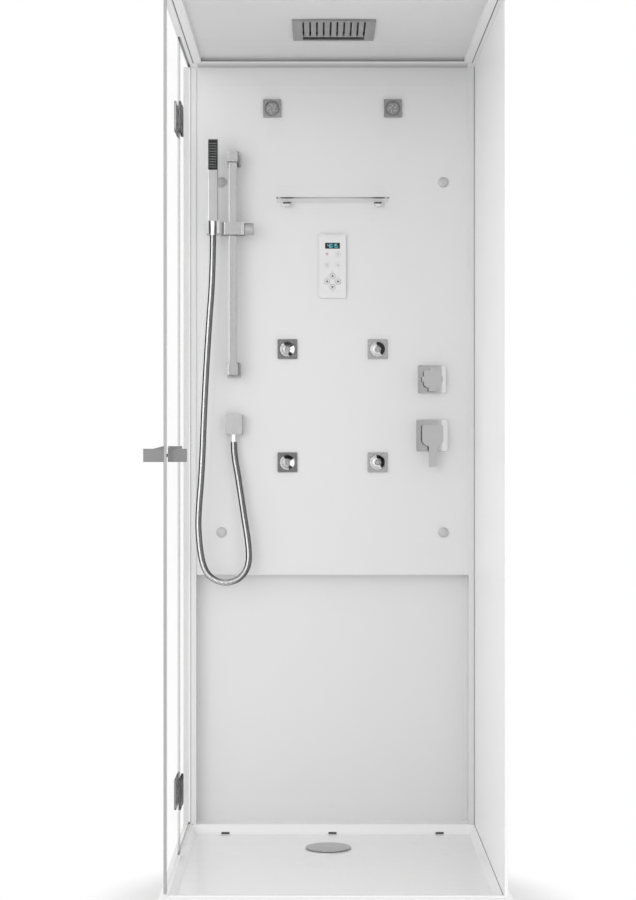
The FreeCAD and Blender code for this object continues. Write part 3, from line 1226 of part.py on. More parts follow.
# ---------------------------------------------------------------- steam and water behind the panel
def services():
    behind = f"({panelFace} + panelThick)"
    boiler = part_body("boilerTank")
    pad(boiler, "y", (behind, f"{behind} + boilerDeep"), lambda drawn: rounded(
        drawn, ("0 - boilerWide / 2", "boilerWide / 2"), ("boilerFoot", "boilerFoot + boilerTall"),
        "boilerRadius"))
    lugs = [box("boilerLug", (f"{x} - 12", f"{x} + 12"), (behind, f"{behind} + 3"),
                (f"{z} - 14", f"{z} + 14"))
            for x in ("0 - boilerWide / 4", "boilerWide / 4")
            for z in ("boilerFoot", "(boilerFoot + boilerTall)")]
    publish(fuse("boilerWhole", boiler, *lugs), "steam_generator")

    pipe = cylinder("steamDrop", "steamRadius", "boilerFoot - panelFoot - panelThick - 12",
                    ("0", steamY, "panelFoot + panelThick + 12"))
    nozzle = turned("steamNozzle", [
        ("0", "0"), ("steamRadius - 3", "0"), ("steamRadius - 3", "0 - outletShow"),
        ("outletRadius - 2", "0 - outletShow"), ("outletRadius", "0 - outletShow / 2"),
        ("outletRadius", "0"), ("steamRadius + 1", "0"), ("steamRadius + 1", "panelThick"),
        ("outletRadius", "panelThick"), ("outletRadius", "panelThick + 12"),
        ("0", "panelThick + 12")], ("0", steamY, "panelFoot"))
    publish(nozzle, "steam_outlet")

    middle = "((diverterZ + mixerZ) / 2)"
    runs = [pipe]

    def fitting(x, y, z, half):
        runs.append(box("pipeFitting", *[(f"{at} - {half}", f"{at} + {half}") for at in (x, y, z)]))

    def run(axis, across, low, high, radius="pipeRadius"):
        """A straight pipe; across holds its other two coordinates in X, Y, Z order."""
        base = list(across)
        base.insert("xyz".index(axis), low)
        runs.append(cylinder("pipeRun", radius, f"({high}) - ({low})", base, axis))
    for x in ("0 - jetX", "jetX"):
        for z in ("jetLow", middle, "jetHigh"):
            fitting(x, pipeY, z, "teeHalf")
        run("z", (x, pipeY), "jetLow + teeHalf", f"{middle} - teeHalf")
        run("z", (x, pipeY), f"{middle} + teeHalf", "jetHigh - teeHalf")
    run("x", (pipeY, middle), "teeHalf - jetX", "jetX - teeHalf")
    run("x", (pipeY, middle), "jetX + teeHalf", "mixerX - blockHalf")
    run("x", (handPipeY, "outletZ"), "outletX + teeHalf", "mixerX - blockHalf")
    thin, corner = "(pipeRadius - 2)", "(pipeRadius - 1.6)"
    run("z", (pipeX, pipeY), "diverterZ + blockHalf", f"{roofPipeZ} - pipeRadius")
    fitting(pipeX, pipeY, roofPipeZ, "pipeRadius")
    run("y", (pipeX, roofPipeZ), f"rainY + {corner}", f"{pipeY} - pipeRadius", thin)
    fitting(pipeX, "rainY", roofPipeZ, corner)
    run("x", ("rainY", roofPipeZ), "rainWide / 2 - 8", f"{pipeX} - {corner}", thin)
    group("service_pipes", *runs)


services()


# ---------------------------------------------------------------- check and write
doc.recompute()
for item in doc.Objects:
    if "Invalid" in item.State or "Error" in item.State:
        raise RuntimeError("%s (%s) failed: %s" % (item.Name, item.Label, item.State))
os.makedirs("parts", exist_ok=True)
for item in nodes:
    shape = item.Shape
    if shape.isNull() or not shape.isValid():
        raise RuntimeError("%s has no valid shape" % item.Label)
    shape.exportStep("parts/%s.step" % item.Label)
print("wrote %d nodes" % len(nodes))
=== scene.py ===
import math
import bmesh
import bpy
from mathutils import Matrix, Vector


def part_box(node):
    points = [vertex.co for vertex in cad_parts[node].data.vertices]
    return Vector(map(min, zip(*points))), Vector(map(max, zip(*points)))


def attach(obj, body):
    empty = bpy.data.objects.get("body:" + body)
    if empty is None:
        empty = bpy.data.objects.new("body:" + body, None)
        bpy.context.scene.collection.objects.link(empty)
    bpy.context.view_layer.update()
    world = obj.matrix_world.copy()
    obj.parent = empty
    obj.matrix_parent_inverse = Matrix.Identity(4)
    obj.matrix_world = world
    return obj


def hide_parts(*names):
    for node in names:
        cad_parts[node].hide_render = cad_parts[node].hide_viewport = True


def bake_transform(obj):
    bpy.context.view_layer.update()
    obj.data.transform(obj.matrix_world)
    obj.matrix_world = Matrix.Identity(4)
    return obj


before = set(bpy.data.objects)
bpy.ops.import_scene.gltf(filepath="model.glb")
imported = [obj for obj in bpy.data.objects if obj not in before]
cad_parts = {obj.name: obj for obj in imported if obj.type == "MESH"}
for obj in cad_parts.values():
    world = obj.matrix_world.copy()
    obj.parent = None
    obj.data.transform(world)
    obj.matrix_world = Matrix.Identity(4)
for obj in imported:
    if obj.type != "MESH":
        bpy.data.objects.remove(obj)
scene = bpy.context.scene
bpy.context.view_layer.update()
print("stage: frame loaded,", len(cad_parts), "nodes")


# node helpers
def addNode(tree, kind, **values):
    node = tree.nodes.new("ShaderNode" + kind)
    for name, value in values.items():
        if name in node.bl_rna.properties:
            setattr(node, name, value)
        else:
            node.inputs[name.replace("_", " ")].default_value = value
    return node


def link(tree, source, output, target, socket):
    tree.links.new(source.outputs[output], target.inputs[socket])


def wire(tree, *threads):
    # each thread is a node and its output, then a node and its input
    for thread in threads:
        link(tree, *thread)


def newGroup(name, inputs, outputs):
    group = bpy.data.node_groups.new(name, "ShaderNodeTree")
    for label, kind, value in inputs:
        socket = group.interface.new_socket(label, in_out="INPUT", socket_type=kind)
        socket.default_value = value
    for label, kind in outputs:
        group.interface.new_socket(label, in_out="OUTPUT", socket_type=kind)
    return group, group.nodes.new("NodeGroupInput"), group.nodes.new("NodeGroupOutput")


number, colour, vector = "NodeSocketFloat", "NodeSocketColor", "NodeSocketVector"


cloudy = {"detail": 3.0, "fineDetail": 6.0, "fineTimes": 14.0, "spreadFrom": 0.3, "spreadTo": 0.7}


def makeToneGroup():
    # slow cloudy change between two close colours, and a finer one for the roughness
    group, entry, leave = newGroup("slowTone", [
        ("Colour", colour, (0.8, 0.8, 0.8, 1)), ("Shade", colour, (0.7, 0.7, 0.7, 1)),
        ("Scale", number, 3.0), ("Rough Low", number, 0.1), ("Rough High", number, 0.2)],
        [("Colour", colour), ("Roughness", number)])
    place = addNode(group, "TexCoord")
    cloud = addNode(group, "TexNoise", Detail=cloudy["detail"], Roughness=0.5)
    fine = addNode(group, "TexNoise", Detail=cloudy["fineDetail"], Roughness=0.6)
    finer = addNode(group, "Math", operation="MULTIPLY")
    finer.inputs[1].default_value = cloudy["fineTimes"]
    mix = addNode(group, "Mix", data_type="RGBA")
    spread = addNode(group, "MapRange", From_Min=cloudy["spreadFrom"], From_Max=cloudy["spreadTo"])
    wire(group, (place, "Object", cloud, "Vector"), (place, "Object", fine, "Vector"),
         (entry, "Scale", cloud, "Scale"), (entry, "Scale", finer, 0), (finer, 0, fine, "Scale"),
         (cloud, "Fac", mix, 0), (entry, "Colour", mix, 6), (entry, "Shade", mix, 7),
         (mix, 2, leave, "Colour"), (fine, "Fac", spread, "Value"),
         (entry, "Rough Low", spread, "To Min"), (entry, "Rough High", spread, "To Max"),
         (spread, "Result", leave, "Roughness"))
    return group


def makeGrainGroup():
    # stretched fine grain: even stretch gives an orange-peel skin, uneven stretch gives brushing
    group, entry, leave = newGroup("fineGrain", [
        ("Stretch", vector, (1, 1, 1)), ("Scale", number, 300.0)], [("Height", number)])
    place = addNode(group, "TexCoord")
    squeeze = addNode(group, "VectorMath", operation="MULTIPLY")
    grain = addNode(group, "TexNoise", Detail=4.0, Roughness=0.55)
    wire(group, (place, "Object", squeeze, 0), (entry, "Stretch", squeeze, 1),
         (squeeze, "Vector", grain, "Vector"), (entry, "Scale", grain, "Scale"),
         (grain, "Fac", leave, "Height"))
    return group


toneGroup, grainGroup = makeToneGroup(), makeGrainGroup()


def newMaterial(name):
    material = bpy.data.materials.new(name)
    material.use_nodes = True
    return material, *inside(material)


def inside(material):
    return material.node_tree, material.node_tree.nodes["Principled BSDF"]


# what a finish has when it names nothing else
plain = {"metal": 0.0, "coat": 0.0, "coatRough": 0.05, "ior": 1.5, "shine": 0.5,
         "stretch": (1, 1, 1), "grain": 300.0, "bump": 0.005, "edge": 0.0006}


def finish(name, spec):
    spec = {**plain, **spec}
    material, tree, shader = newMaterial(name)
    for socket, key in (("Metallic", "metal"), ("Coat Weight", "coat"),
                        ("Coat Roughness", "coatRough"), ("IOR", "ior"),
                        ("Specular IOR Level", "shine")):
        shader.inputs[socket].default_value = spec[key]
    low, high = spec["rough"]
    tone = addNode(tree, "Group", node_tree=toneGroup, Colour=(*spec["colour"], 1),
                   Shade=(*spec["shade"], 1), Scale=spec["scale"], Rough_Low=low,
                   Rough_High=high)
    wire(tree, (tone, "Colour", shader, "Base Color"), (tone, "Roughness", shader, "Roughness"))
    grain = addNode(tree, "Group", node_tree=grainGroup, Stretch=spec["stretch"],
                    Scale=spec["grain"])
    bump = addNode(tree, "Bump", Strength=spec["bump"], Distance=0.0005)
    soft = addNode(tree, "Bevel", samples=4, Radius=spec["edge"])
    wire(tree, (grain, "Height", bump, "Height"), (soft, "Normal", bump, "Normal"),
         (bump, "Normal", shader, "Normal"))
    return material


def tint(colour, shade, scale, rough, **more):
    # two close colours, the size of their clouds, the least and most roughness, and the rest
    return dict(colour=colour, shade=shade, scale=scale, rough=rough, **more)


def grey(light, dark, scale, rough, **more):
    return tint((light,) * 3, (dark,) * 3, scale, rough, **more)


def steel(light, dark, scale, rough, **more):
    return grey(light, dark, scale, rough, metal=1.0, **more)


# finishes
fine = dict(grain=900, bump=0.03)
finishes = {
    "trayAcrylic": grey(0.86, 0.85, 2.5, (0.2, 0.24), coat=0.25, grain=60, bump=0.004, edge=0.003),
    "panelGloss": grey(0.73, 0.722, 1.6, (0.3, 0.34), coat=0.08, grain=90, bump=0.003, edge=0.001),
    "wallGlass": grey(0.93, 0.92, 1.2, (0.34, 0.38), coat=0.05, coatRough=0.2, grain=40,
                      bump=0.002, edge=0.001),
    "profileCoat": grey(0.83, 0.815, 4.0, (0.34, 0.42), **fine, edge=0.0008),
    "postCoat": grey(0.71, 0.7, 4.0, (0.36, 0.42), grain=900, bump=0.02, edge=0.0008),
    "ceilingCoat": grey(0.7, 0.69, 2.0, (0.38, 0.46), grain=700, bump=0.03, edge=0.001),
    "chromePolish": steel(0.7, 0.66, 9.0, (0.03, 0.06), grain=400, bump=0.004),
    "chromeFlat": steel(0.46, 0.44, 9.0, (0.14, 0.18), bump=0.006, edge=0.0007),
    "chromeHead": steel(0.46, 0.445, 12.0, (0.08, 0.11), edge=0.0007),
    "chromePlate": steel(0.4, 0.37, 9.0, (0.1, 0.14), bump=0.006, edge=0.0007),
    "chromeSatin": steel(0.38, 0.35, 12.0, (0.2, 0.26), stretch=(1, 1, 30), grain=160, bump=0.02),
    "handleSatin": steel(0.215, 0.2, 12.0, (0.36, 0.42), stretch=(1, 1, 30), grain=160, bump=0.01),
    "coverSteel": steel(0.4, 0.37, 14.0, (0.08, 0.12), grain=200, bump=0.006),
    "hingeSteel": steel(0.34, 0.3, 14.0, (0.18, 0.24), grain=200, bump=0.02),
    "spotSatin": steel(0.29, 0.26, 25.0, (0.25, 0.34), grain=500, bump=0.03),
    "spotLens": grey(0.3, 0.22, 90.0, (0.55, 0.65), metal=0.25, grain=200, bump=0.03),
    "spotRidge": grey(0.66, 0.5, 90.0, (0.45, 0.55), metal=0.25, grain=200, bump=0.03,
                      edge=0.0003),
    "rainSatin": steel(0.31, 0.29, 14.0, (0.28, 0.34), stretch=(30, 1, 1), grain=180, bump=0.03,
                       edge=0.0008),
    "blackShell": grey(0.012, 0.02, 20.0, (0.55, 0.65), grain=800, bump=0.1, edge=0.0008),
    "footRubber": tint((0.035, 0.035, 0.036), (0.05, 0.05, 0.051), 20.0, (0.55, 0.75), grain=900,
                       bump=0.2, edge=0.001),
    "railZinc": tint((0.52, 0.53, 0.54), (0.38, 0.39, 0.4), 22.0, (0.38, 0.55), metal=1.0,
                     grain=70, bump=0.1, edge=0.001),
    "trapPlastic": tint((0.42, 0.43, 0.44), (0.36, 0.37, 0.38), 10.0, (0.35, 0.5), grain=600,
                        bump=0.1, edge=0.001),
    "sealStrip": grey(0.5, 0.46, 8.0, (0.3, 0.42), grain=500, bump=0.03, edge=0.0005),
    "paneLine": grey(0.27, 0.24, 8.0, (0.4, 0.5), grain=500, bump=0.03, edge=0.0003),
    "sprayPlate": tint((0.01, 0.01, 0.011), (0.016, 0.016, 0.017), 30.0, (0.5, 0.58), shine=0.03,
                       grain=600, bump=0.03),
    "nozzleRubber": grey(0.86, 0.8, 60.0, (0.45, 0.6), grain=900, bump=0.05, edge=0.0002),
    "jetGrey": steel(0.6, 0.5, 30.0, (0.16, 0.22)),
    "mirrorDark": grey(0.003, 0.006, 40.0, (0.55, 0.62), shine=0.05, edge=0.0002),
    "mirrorBright": steel(0.97, 0.94, 40.0, (0.2, 0.28), edge=0.0002),
    "highlightPale": steel(0.62, 0.58, 40.0, (0.25, 0.32), edge=0.0002),
    "jetPale": steel(0.86, 0.78, 30.0, (0.16, 0.22)),
    "chromeCap": grey(0.51, 0.47, 12.0, (0.42, 0.48), metal=0.3, edge=0.002),
    "holderSatin": grey(0.6, 0.57, 12.0, (0.42, 0.5), metal=0.35, edge=0.001),
    "knobSatin": grey(0.46, 0.43, 12.0, (0.42, 0.5), metal=0.35, edge=0.001),
    "controlGloss": grey(0.74, 0.73, 12.0, (0.2, 0.26), coat=0.2, grain=200, bump=0.003,
                         edge=0.0008),
    "displayWindow": tint((0.004, 0.004, 0.005), (0.007, 0.007, 0.009), 40.0, (0.25, 0.32),
                          shine=0.05, grain=200, bump=0.01, edge=0.0003),
    "markGrey": grey(0.26, 0.22, 90.0, (0.3, 0.45), **fine, edge=0.0001),
    "markRed": tint((0.6, 0.05, 0.07), (0.5, 0.04, 0.05), 90.0, (0.3, 0.45), **fine, edge=0.0001),
    "arrowInk": tint((0.02, 0.02, 0.022), (0.04, 0.04, 0.043), 90.0, (0.3, 0.45), grain=900,
                     bump=0.03, edge=0.0001),
    "jointDark": grey(0.07, 0.05, 40.0, (0.5, 0.65), **fine, edge=0.0002),
    "grooveGrey": grey(0.2, 0.17, 40.0, (0.5, 0.65), **fine, edge=0.0002),
    "jointPale": grey(0.86, 0.84, 40.0, (0.5, 0.65), **fine, edge=0.0002),
    "wellBlack": tint((0.012, 0.012, 0.013), (0.02, 0.02, 0.021), 40.0, (0.6, 0.7), grain=900,
                      bump=0.03, edge=0.0002),
    "valveBrass": tint((0.62, 0.46, 0.2), (0.5, 0.35, 0.14), 18.0, (0.28, 0.45), metal=1.0,
                       bump=0.12, edge=0.001),
    "jetPlastic": tint((0.6, 0.6, 0.59), (0.54, 0.54, 0.53), 14.0, (0.35, 0.5), grain=500,
                       bump=0.06, edge=0.001),
    "tankSteel": tint((0.56, 0.56, 0.57), (0.46, 0.46, 0.47), 6.0, (0.25, 0.38), metal=1.0,
                      stretch=(1, 1, 25), grain=150, bump=0.1, edge=0.002),
    "copperPipe": tint((0.62, 0.3, 0.18), (0.42, 0.19, 0.12), 9.0, (0.22, 0.42), metal=1.0,
                       grain=120, bump=0.08, edge=0.001),
}
made = {name: finish(name, spec) for name, spec in finishes.items()}


# painted reflection: polished metal mirrors a dark door side and a pale room, so a painted shade
# follows the way each face turns, towards the wall side where no other way is named
paintedReflectionMetals = {
    "chromeHose": dict(base="chromePolish", stops=(
        (0, 0.004), (0.22, 0.006), (0.27, 0.8), (0.42, 0.95), (0.48, 0.16), (0.6, 0.2),
        (0.68, 0.1), (0.76, 0.2), (0.9, 0.12), (1, 0.03))),
    "chromeHead": dict(base="chromeHead", towards=(1, 0, 0.35), stops=(
        (0, 0.03), (0.28, 0.04), (0.36, 0.46), (0.64, 0.46), (0.72, 0.8), (1, 0.85))),
    "chromeFlat": dict(base="chromeFlat", stops=(
        (0, 0.7), (0.28, 0.7), (0.36, 0.41), (0.7, 0.41), (0.78, 0.36), (1, 0.34))),
    "chromeSlider": dict(base="chromeFlat", stops=(
        (0, 0.78), (0.28, 0.72), (0.36, 0.41), (0.7, 0.41), (0.78, 0.8), (1, 0.86))),
    "chromeOutlet": dict(base="chromeFlat", stops=(
        (0, 0.7), (0.28, 0.7), (0.36, 0.48), (0.7, 0.48), (0.78, 0.4), (1, 0.38))),
    "chromeNut": dict(base="chromePolish", stops=(
        (0, 0.02), (0.1, 0.1), (0.18, 0.92), (0.56, 0.92), (0.64, 0.4), (0.9, 0.34),
        (1, 0.2))),
}


def shadesOver(tree, share, stops):
    # a ramp of greys over a share from 0 to 1
    shades = addNode(tree, "ValToRGB")
    ramp = shades.color_ramp
    while len(ramp.elements) < len(stops):
        ramp.elements.new(0.5)
    for element, (position, shade) in zip(ramp.elements, stops):
        element.position = position
        element.color = (shade, shade, shade, 1)
    link(tree, share, "Result", shades, "Fac")
    return shades


def paintedReflectionMetal(name, spec):
    material = finish(name, finishes[spec["base"]])
    tree, shader = inside(material)
    # painted reflection: a grey ramp over the way each face turns becomes the base colour and the
    # specular tint
    place = addNode(tree, "TexCoord")
    towards = addNode(tree, "VectorMath", operation="DOT_PRODUCT")
    towards.inputs[1].default_value = Vector(spec.get("towards", (1, 0, 0))).normalized()
    share = addNode(tree, "MapRange", From_Min=-1.0)
    shades = shadesOver(tree, share, spec["stops"])
    wire(tree, (place, "Normal", towards, 0), (towards, "Value", share, "Value"),
         (shades, "Color", shader, "Base Color"), (shades, "Color", shader, "Specular Tint"))
    return material


made.update({name: paintedReflectionMetal(name, spec) for name, spec in paintedReflectionMetals.items()})


def paintedShadeRamp(name, base, axis, span, stops):
    # adds a finish with painted shade that runs along one axis, from span's first place to its
    # last
    material = finish(name, finishes[base])
    tree, shader = inside(material)
    place = addNode(tree, "TexCoord")
    split = addNode(tree, "SeparateXYZ")
    share = addNode(tree, "MapRange", From_Min=span[0], From_Max=span[1])
    shades = shadesOver(tree, share, stops)
    wire(tree, (place, "Object", split, "Vector"), (split, axis, share, "Value"),
         (shades, "Color", shader, "Base Color"))
    if finishes[base].get("metal", 0) > 0.9:
        link(tree, shades, "Color", shader, "Specular Tint")
    made[name] = material


# painted shade across the hinge leaves: light at the outer plate, a bright strip, then darker
# towards the inner side
hingeStops = ((0.0, 0.24), (0.30, 0.24), (0.325, 0.95), (0.345, 0.95), (0.40, 0.30),
              (0.66, 0.12), (0.80, 0.11), (0.88, 0.06), (1.0, 0.06))
paintedShadeRamp("hingeShade", "hingeSteel", "X", (-0.393, -0.375), hingeStops)
# painted shade and highlight on the valve plates: darker towards the left, bright at the right end
paintedShadeRamp("plateShade", "chromePlate", "X", (0.226, 0.309), (
    (0.0, 0.36), (0.20, 0.39), (0.70, 0.42), (0.80, 0.50), (0.84, 0.68), (1.0, 0.66)))


# satin plates over the jets with a painted reflection: the steel is a shade deeper on the door
# side
jetPlateReflection = {"doorSide": (0.16, 0.16, 0.16), "wallSide": (0.36, 0.36, 0.36), "reach": 0.1}


def makeSideReflectionGroup():
    group, entry, leave = newGroup("paintedSideReflection", [
        ("Near", colour, (0.2, 0.2, 0.2, 1)), ("Far", colour, (0.3, 0.3, 0.3, 1)),
        ("Reach", number, 0.1)], [("Colour", colour)])
    place = addNode(group, "TexCoord")
    split = addNode(group, "SeparateXYZ")
    lower = addNode(group, "Math", operation="MULTIPLY")
    lower.inputs[1].default_value = -1.0
    spread = addNode(group, "MapRange", interpolation_type="SMOOTHSTEP")
    mix = addNode(group, "Mix", data_type="RGBA")
    wire(group, (place, "Object", split, "Vector"), (split, "X", spread, "Value"),
         (entry, "Reach", lower, 0), (lower, 0, spread, "From Min"),
         (entry, "Reach", spread, "From Max"), (spread, "Result", mix, 0), (entry, "Near", mix, 6),
         (entry, "Far", mix, 7), (mix, 2, leave, "Colour"))
    return group


def makeJetPlateReflection():
    material = finish("jetPlateReflection", finishes["chromeSatin"])
    tree, shader = inside(material)
    side = addNode(tree, "Group", node_tree=makeSideReflectionGroup(),
                   Near=(*jetPlateReflection["doorSide"], 1), Far=(*jetPlateReflection["wallSide"], 1),
                   Reach=jetPlateReflection["reach"])
    link(tree, side, "Colour", shader, "Base Color")
    return material


made["jetPlateReflection"] = makeJetPlateReflection()


def makeRimGroup():
    # the ground edge that faces one way has its own colour and is less clear than the sheet
    group, entry, leave = newGroup("sheetFace", [
        ("Edge Towards", vector, (0, -1, 0)), ("Face Colour", colour, (1, 1, 1, 1)),
        ("Edge Colour", colour, (0.5, 0.5, 0.5, 1)), ("Face Clear", number, 0.95),
        ("Edge Clear", number, 0.0)], [("Colour", colour), ("Clear", number)])
    place = addNode(group, "TexCoord")
    towards = addNode(group, "VectorMath", operation="DOT_PRODUCT")
    onEdge = addNode(group, "Math", operation="GREATER_THAN")
    onEdge.inputs[1].default_value = 0.5
    mix = addNode(group, "Mix", data_type="RGBA")
    clear = addNode(group, "MapRange")
    wire(group, (place, "Normal", towards, 0), (entry, "Edge Towards", towards, 1),
         (towards, "Value", onEdge, 0), (onEdge, 0, mix, 0), (entry, "Face Colour", mix, 6),
         (entry, "Edge Colour", mix, 7), (mix, 2, leave, "Colour"), (onEdge, 0, clear, "Value"),
         (entry, "Face Clear", clear, "To Min"), (entry, "Edge Clear", clear, "To Max"),
         (clear, "Result", leave, "Clear"))
    return group


rimGroup = makeRimGroup()


def glassFinish(name, spec):
    material, tree, shader = newMaterial(name)
    shader.inputs["Roughness"].default_value = spec["rough"]
    shader.inputs["IOR"].default_value = 1.45
    shader.inputs["Transmission Weight"].default_value = 1.0
    face = addNode(tree, "Group", node_tree=rimGroup, Edge_Towards=spec["towards"],
                   Face_Colour=(*spec["colour"], 1), Edge_Colour=(*spec["edge"], 1),
                   Face_Clear=spec["clear"], Edge_Clear=spec["edgeClear"])
    link(tree, face, "Colour", shader, "Base Color")
    # light passes straight through, so the pane casts no black shadow
    rays = addNode(tree, "LightPath")
    either = addNode(tree, "Math", operation="MAXIMUM")
    most = addNode(tree, "Math", operation="MAXIMUM")
    through = addNode(tree, "BsdfTransparent", Color=(*spec["through"], 1))
    mix = addNode(tree, "MixShader")
    wire(tree, (rays, "Is Shadow Ray", either, 0), (rays, "Is Diffuse Ray", either, 1),
         (either, 0, most, 0), (face, "Clear", most, 1), (most, 0, mix, 0),
         (shader, "BSDF", mix, 1), (through, "BSDF", mix, 2),
         (mix, "Shader", tree.nodes["Material Output"], "Surface"))
    return material


pane = dict(colour=(0.99, 0.99, 0.99), edge=(0.42, 0.44, 0.43), through=(1.0, 1.0, 1.0),
            towards=(0, -1, 0), rough=0.0, clear=0.975, edgeClear=0.15)
glassFinishes = {
    "doorGlass": dict(pane), "sideGlass": dict(pane, edgeClear=0.96),
    "frontGlass": dict(pane, towards=(-1, 0, 0)),
    "shelfGlass": dict(pane, edge=(0.5, 0.5, 0.5), edgeClear=0.82),
    "sealClear": dict(pane, edge=(0.5, 0.5, 0.5), colour=(0.8, 0.8, 0.8), rough=0.35, clear=0.98,
                      edgeClear=0.97),
}
made.update({name: glassFinish(name, spec) for name, spec in glassFinishes.items()})

# each finish and the nodes that wear it
finishNodes = {
    "trayAcrylic": "shower_tray", "railZinc": "tray_underframe", "footRubber": "tray_feet",
    "trapPlastic": "waste_body", "coverSteel": "drain_cover", "postCoat": "rear_posts",
    "panelGloss": "lower_back_panel upper_back_panel", "wallGlass": "right_wall_panel",
    "profileCoat": "right_front_profile glass_sills roof_frame", "sideGlass": "left_fixed_glass",
    "doorGlass": "door_glass", "frontGlass": "front_glass", "shelfGlass": "shelf_glass",
    "sealClear": "door_seals", "hingeShade": "hinge_fixed_leaves hinge_door_leaves",
    "handleSatin": "handle_outer handle_inner", "ceilingCoat": "ceiling_panel roof_cover",
    "rainSatin": "rain_head_plate", "blackShell": "rain_head_box", "spotSatin": "spot_bezels",
    "spotLens": "spot_lenses", "chromeCap": "fixing_caps",
    "chromeFlat": "slide_bar bar_brackets handset_body", "chromeSlider": "slider_body",
    "knobSatin": "slider_knob", "holderSatin": "handset_holder", "sprayPlate": "spray_plate",
    "chromeNut": "hose_cone_nut", "chromePolish": "hose_wall_nut shelf_clamps steam_outlet",
    "chromeOutlet": "wall_outlet",
    "controlGloss": "control_housing key_up key_down key_left key_right",
    "displayWindow": "control_display", "plateShade": "valve_plates", "valveBrass": "valve_block",
    "chromeHead": "diverter_knob mixer_collar mixer_lever",
    "jetPale": "jet_upper_left jet_upper_right jet_lower_left jet_lower_right",
    "jetPlateReflection": "jet_plates", "jetPlastic": "jet_bodies", "tankSteel": "steam_generator",
    "copperPipe": "service_pipes",
}


for name, nodes in finishNodes.items():
    for node in nodes.split():
        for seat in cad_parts[node].material_slots:
            seat.material = made[name]
print("stage: finishes placed")


# piece helpers
creaseFrom = 35  # degrees


def newObject(name, data):
    item = bpy.data.objects.new(name, data)
    scene.collection.objects.link(item)
    return item


def pieceFrom(name, shape, body, finishName, smooth=False):
    mesh = bpy.data.meshes.new(name)
    shape.normal_update()
    shape.to_mesh(mesh)
    shape.free()
    if smooth:
        mesh.shade_smooth()
        mesh.set_sharp_from_angle(angle=math.radians(creaseFrom))
    piece = newObject(name, mesh)
    mesh.materials.append(made[finishName])
    if isinstance(body, str):
        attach(piece, body)
    else:
        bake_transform(piece)
    return piece


def skin(shape, rings):
    # quads between each ring of points and the next
    for low, high in zip(rings, rings[1:]):
        for step in range(len(low)):
            after = (step + 1) % len(low)
            shape.faces.new((low[step], low[after], high[after], high[step]))


def turnedRings(shape, profile, centre, across, up, turns):
    # profile is (radius, height), up points away from the surface
    other = up.cross(across)
    rings = []
    for radius, height in profile:
        ring = []
        for step in range(turns):
            angle = 2 * math.pi * step / turns
            ring.append(shape.verts.new(centre + up * height + across * math.cos(angle) * radius
                                        + other * math.sin(angle) * radius))
        rings.append(ring)
    return rings


def faceSpin(shape, profile, centre, across, up, turns):
    # one turned solid, closed at both ends
    rings = turnedRings(shape, profile, centre, across, up, turns)
    skin(shape, rings)
    shape.faces.new(rings[-1])
    shape.faces.new(list(reversed(rings[0])))


def ringSolid(shape, profile, centre, across, up, turns):
    # a closed ring: the profile's last point joins its first
    rings = turnedRings(shape, profile, centre, across, up, turns)
    skin(shape, rings + rings[:1])
    bmesh.ops.recalc_face_normals(shape, faces=shape.faces)


outward = Vector((0, -1, 0))
sideways = Vector((1, 0, 0))

# hand shower hose
hose = {
    "route": [
        (-0.316, 0.312, 1.7015), (-0.316, 0.312, 1.605), (-0.3282, 0.3145, 1.446),
        (-0.3394, 0.318, 1.250), (-0.3455, 0.323, 1.082), (-0.3545, 0.328, 0.978),
        (-0.3563, 0.333, 0.920), (-0.348, 0.338, 0.842), (-0.3315, 0.343, 0.801),
        (-0.295, 0.348, 0.780), (-0.2528, 0.354, 0.7865), (-0.2245, 0.360, 0.8185),
        (-0.2217, 0.366, 0.870), (-0.237, 0.372, 0.963), (-0.253, 0.381, 1.068),
        (-0.264, 0.390, 1.1245), (-0.264, 0.390, 1.1557)],
    "radius": 0.0085, "groove": 0.0007, "pitch": 0.0034, "ribSteps": 4, "around": 20,
    "resolution": 24, "length": 1.37,
    # the cabin, the slider and two points on the hose; nothing reads them, and the hose is laid in
    # place on no body
    "follows": ("cabin", "slider", (-0.2, 0.31, 1.2152), (-0.4479, 0.31, 1.4806)),
}


def smoothLine(route):
    curve = bpy.data.curves.new("hoseLine", "CURVE")
    curve.dimensions = "3D"
    line = curve.splines.new("NURBS")
    line.points.add(len(route) - 1)
    for point, spot in zip(line.points, route):
        point.co = (*spot, 1)
    line.order_u = 3
    line.use_endpoint_u = True
    curve.resolution_u = hose["resolution"]
    holder = bpy.data.objects.new("hoseLine", curve)
    mesh = bpy.data.meshes.new_from_object(holder)
    points = [vertex.co.copy() for vertex in mesh.vertices]
    bpy.data.objects.remove(holder)
    bpy.data.meshes.remove(mesh)
    return points


def walk(points, step):
    # evenly spaced places along the line, both ends kept
    lengths = [0.0]
    for first, second in zip(points, points[1:]):
        lengths.append(lengths[-1] + (second - first).length)
    count = max(2, round(lengths[-1] / step))
    spots, index = [], 0
    for place in range(count + 1):
        wanted = lengths[-1] * place / count
        while index < len(points) - 2 and lengths[index + 1] < wanted:
            index += 1
        part = (wanted - lengths[index]) / max(1e-9, lengths[index + 1] - lengths[index])
        spots.append(points[index].lerp(points[index + 1], min(1.0, part)))
    return spots, lengths[-1]


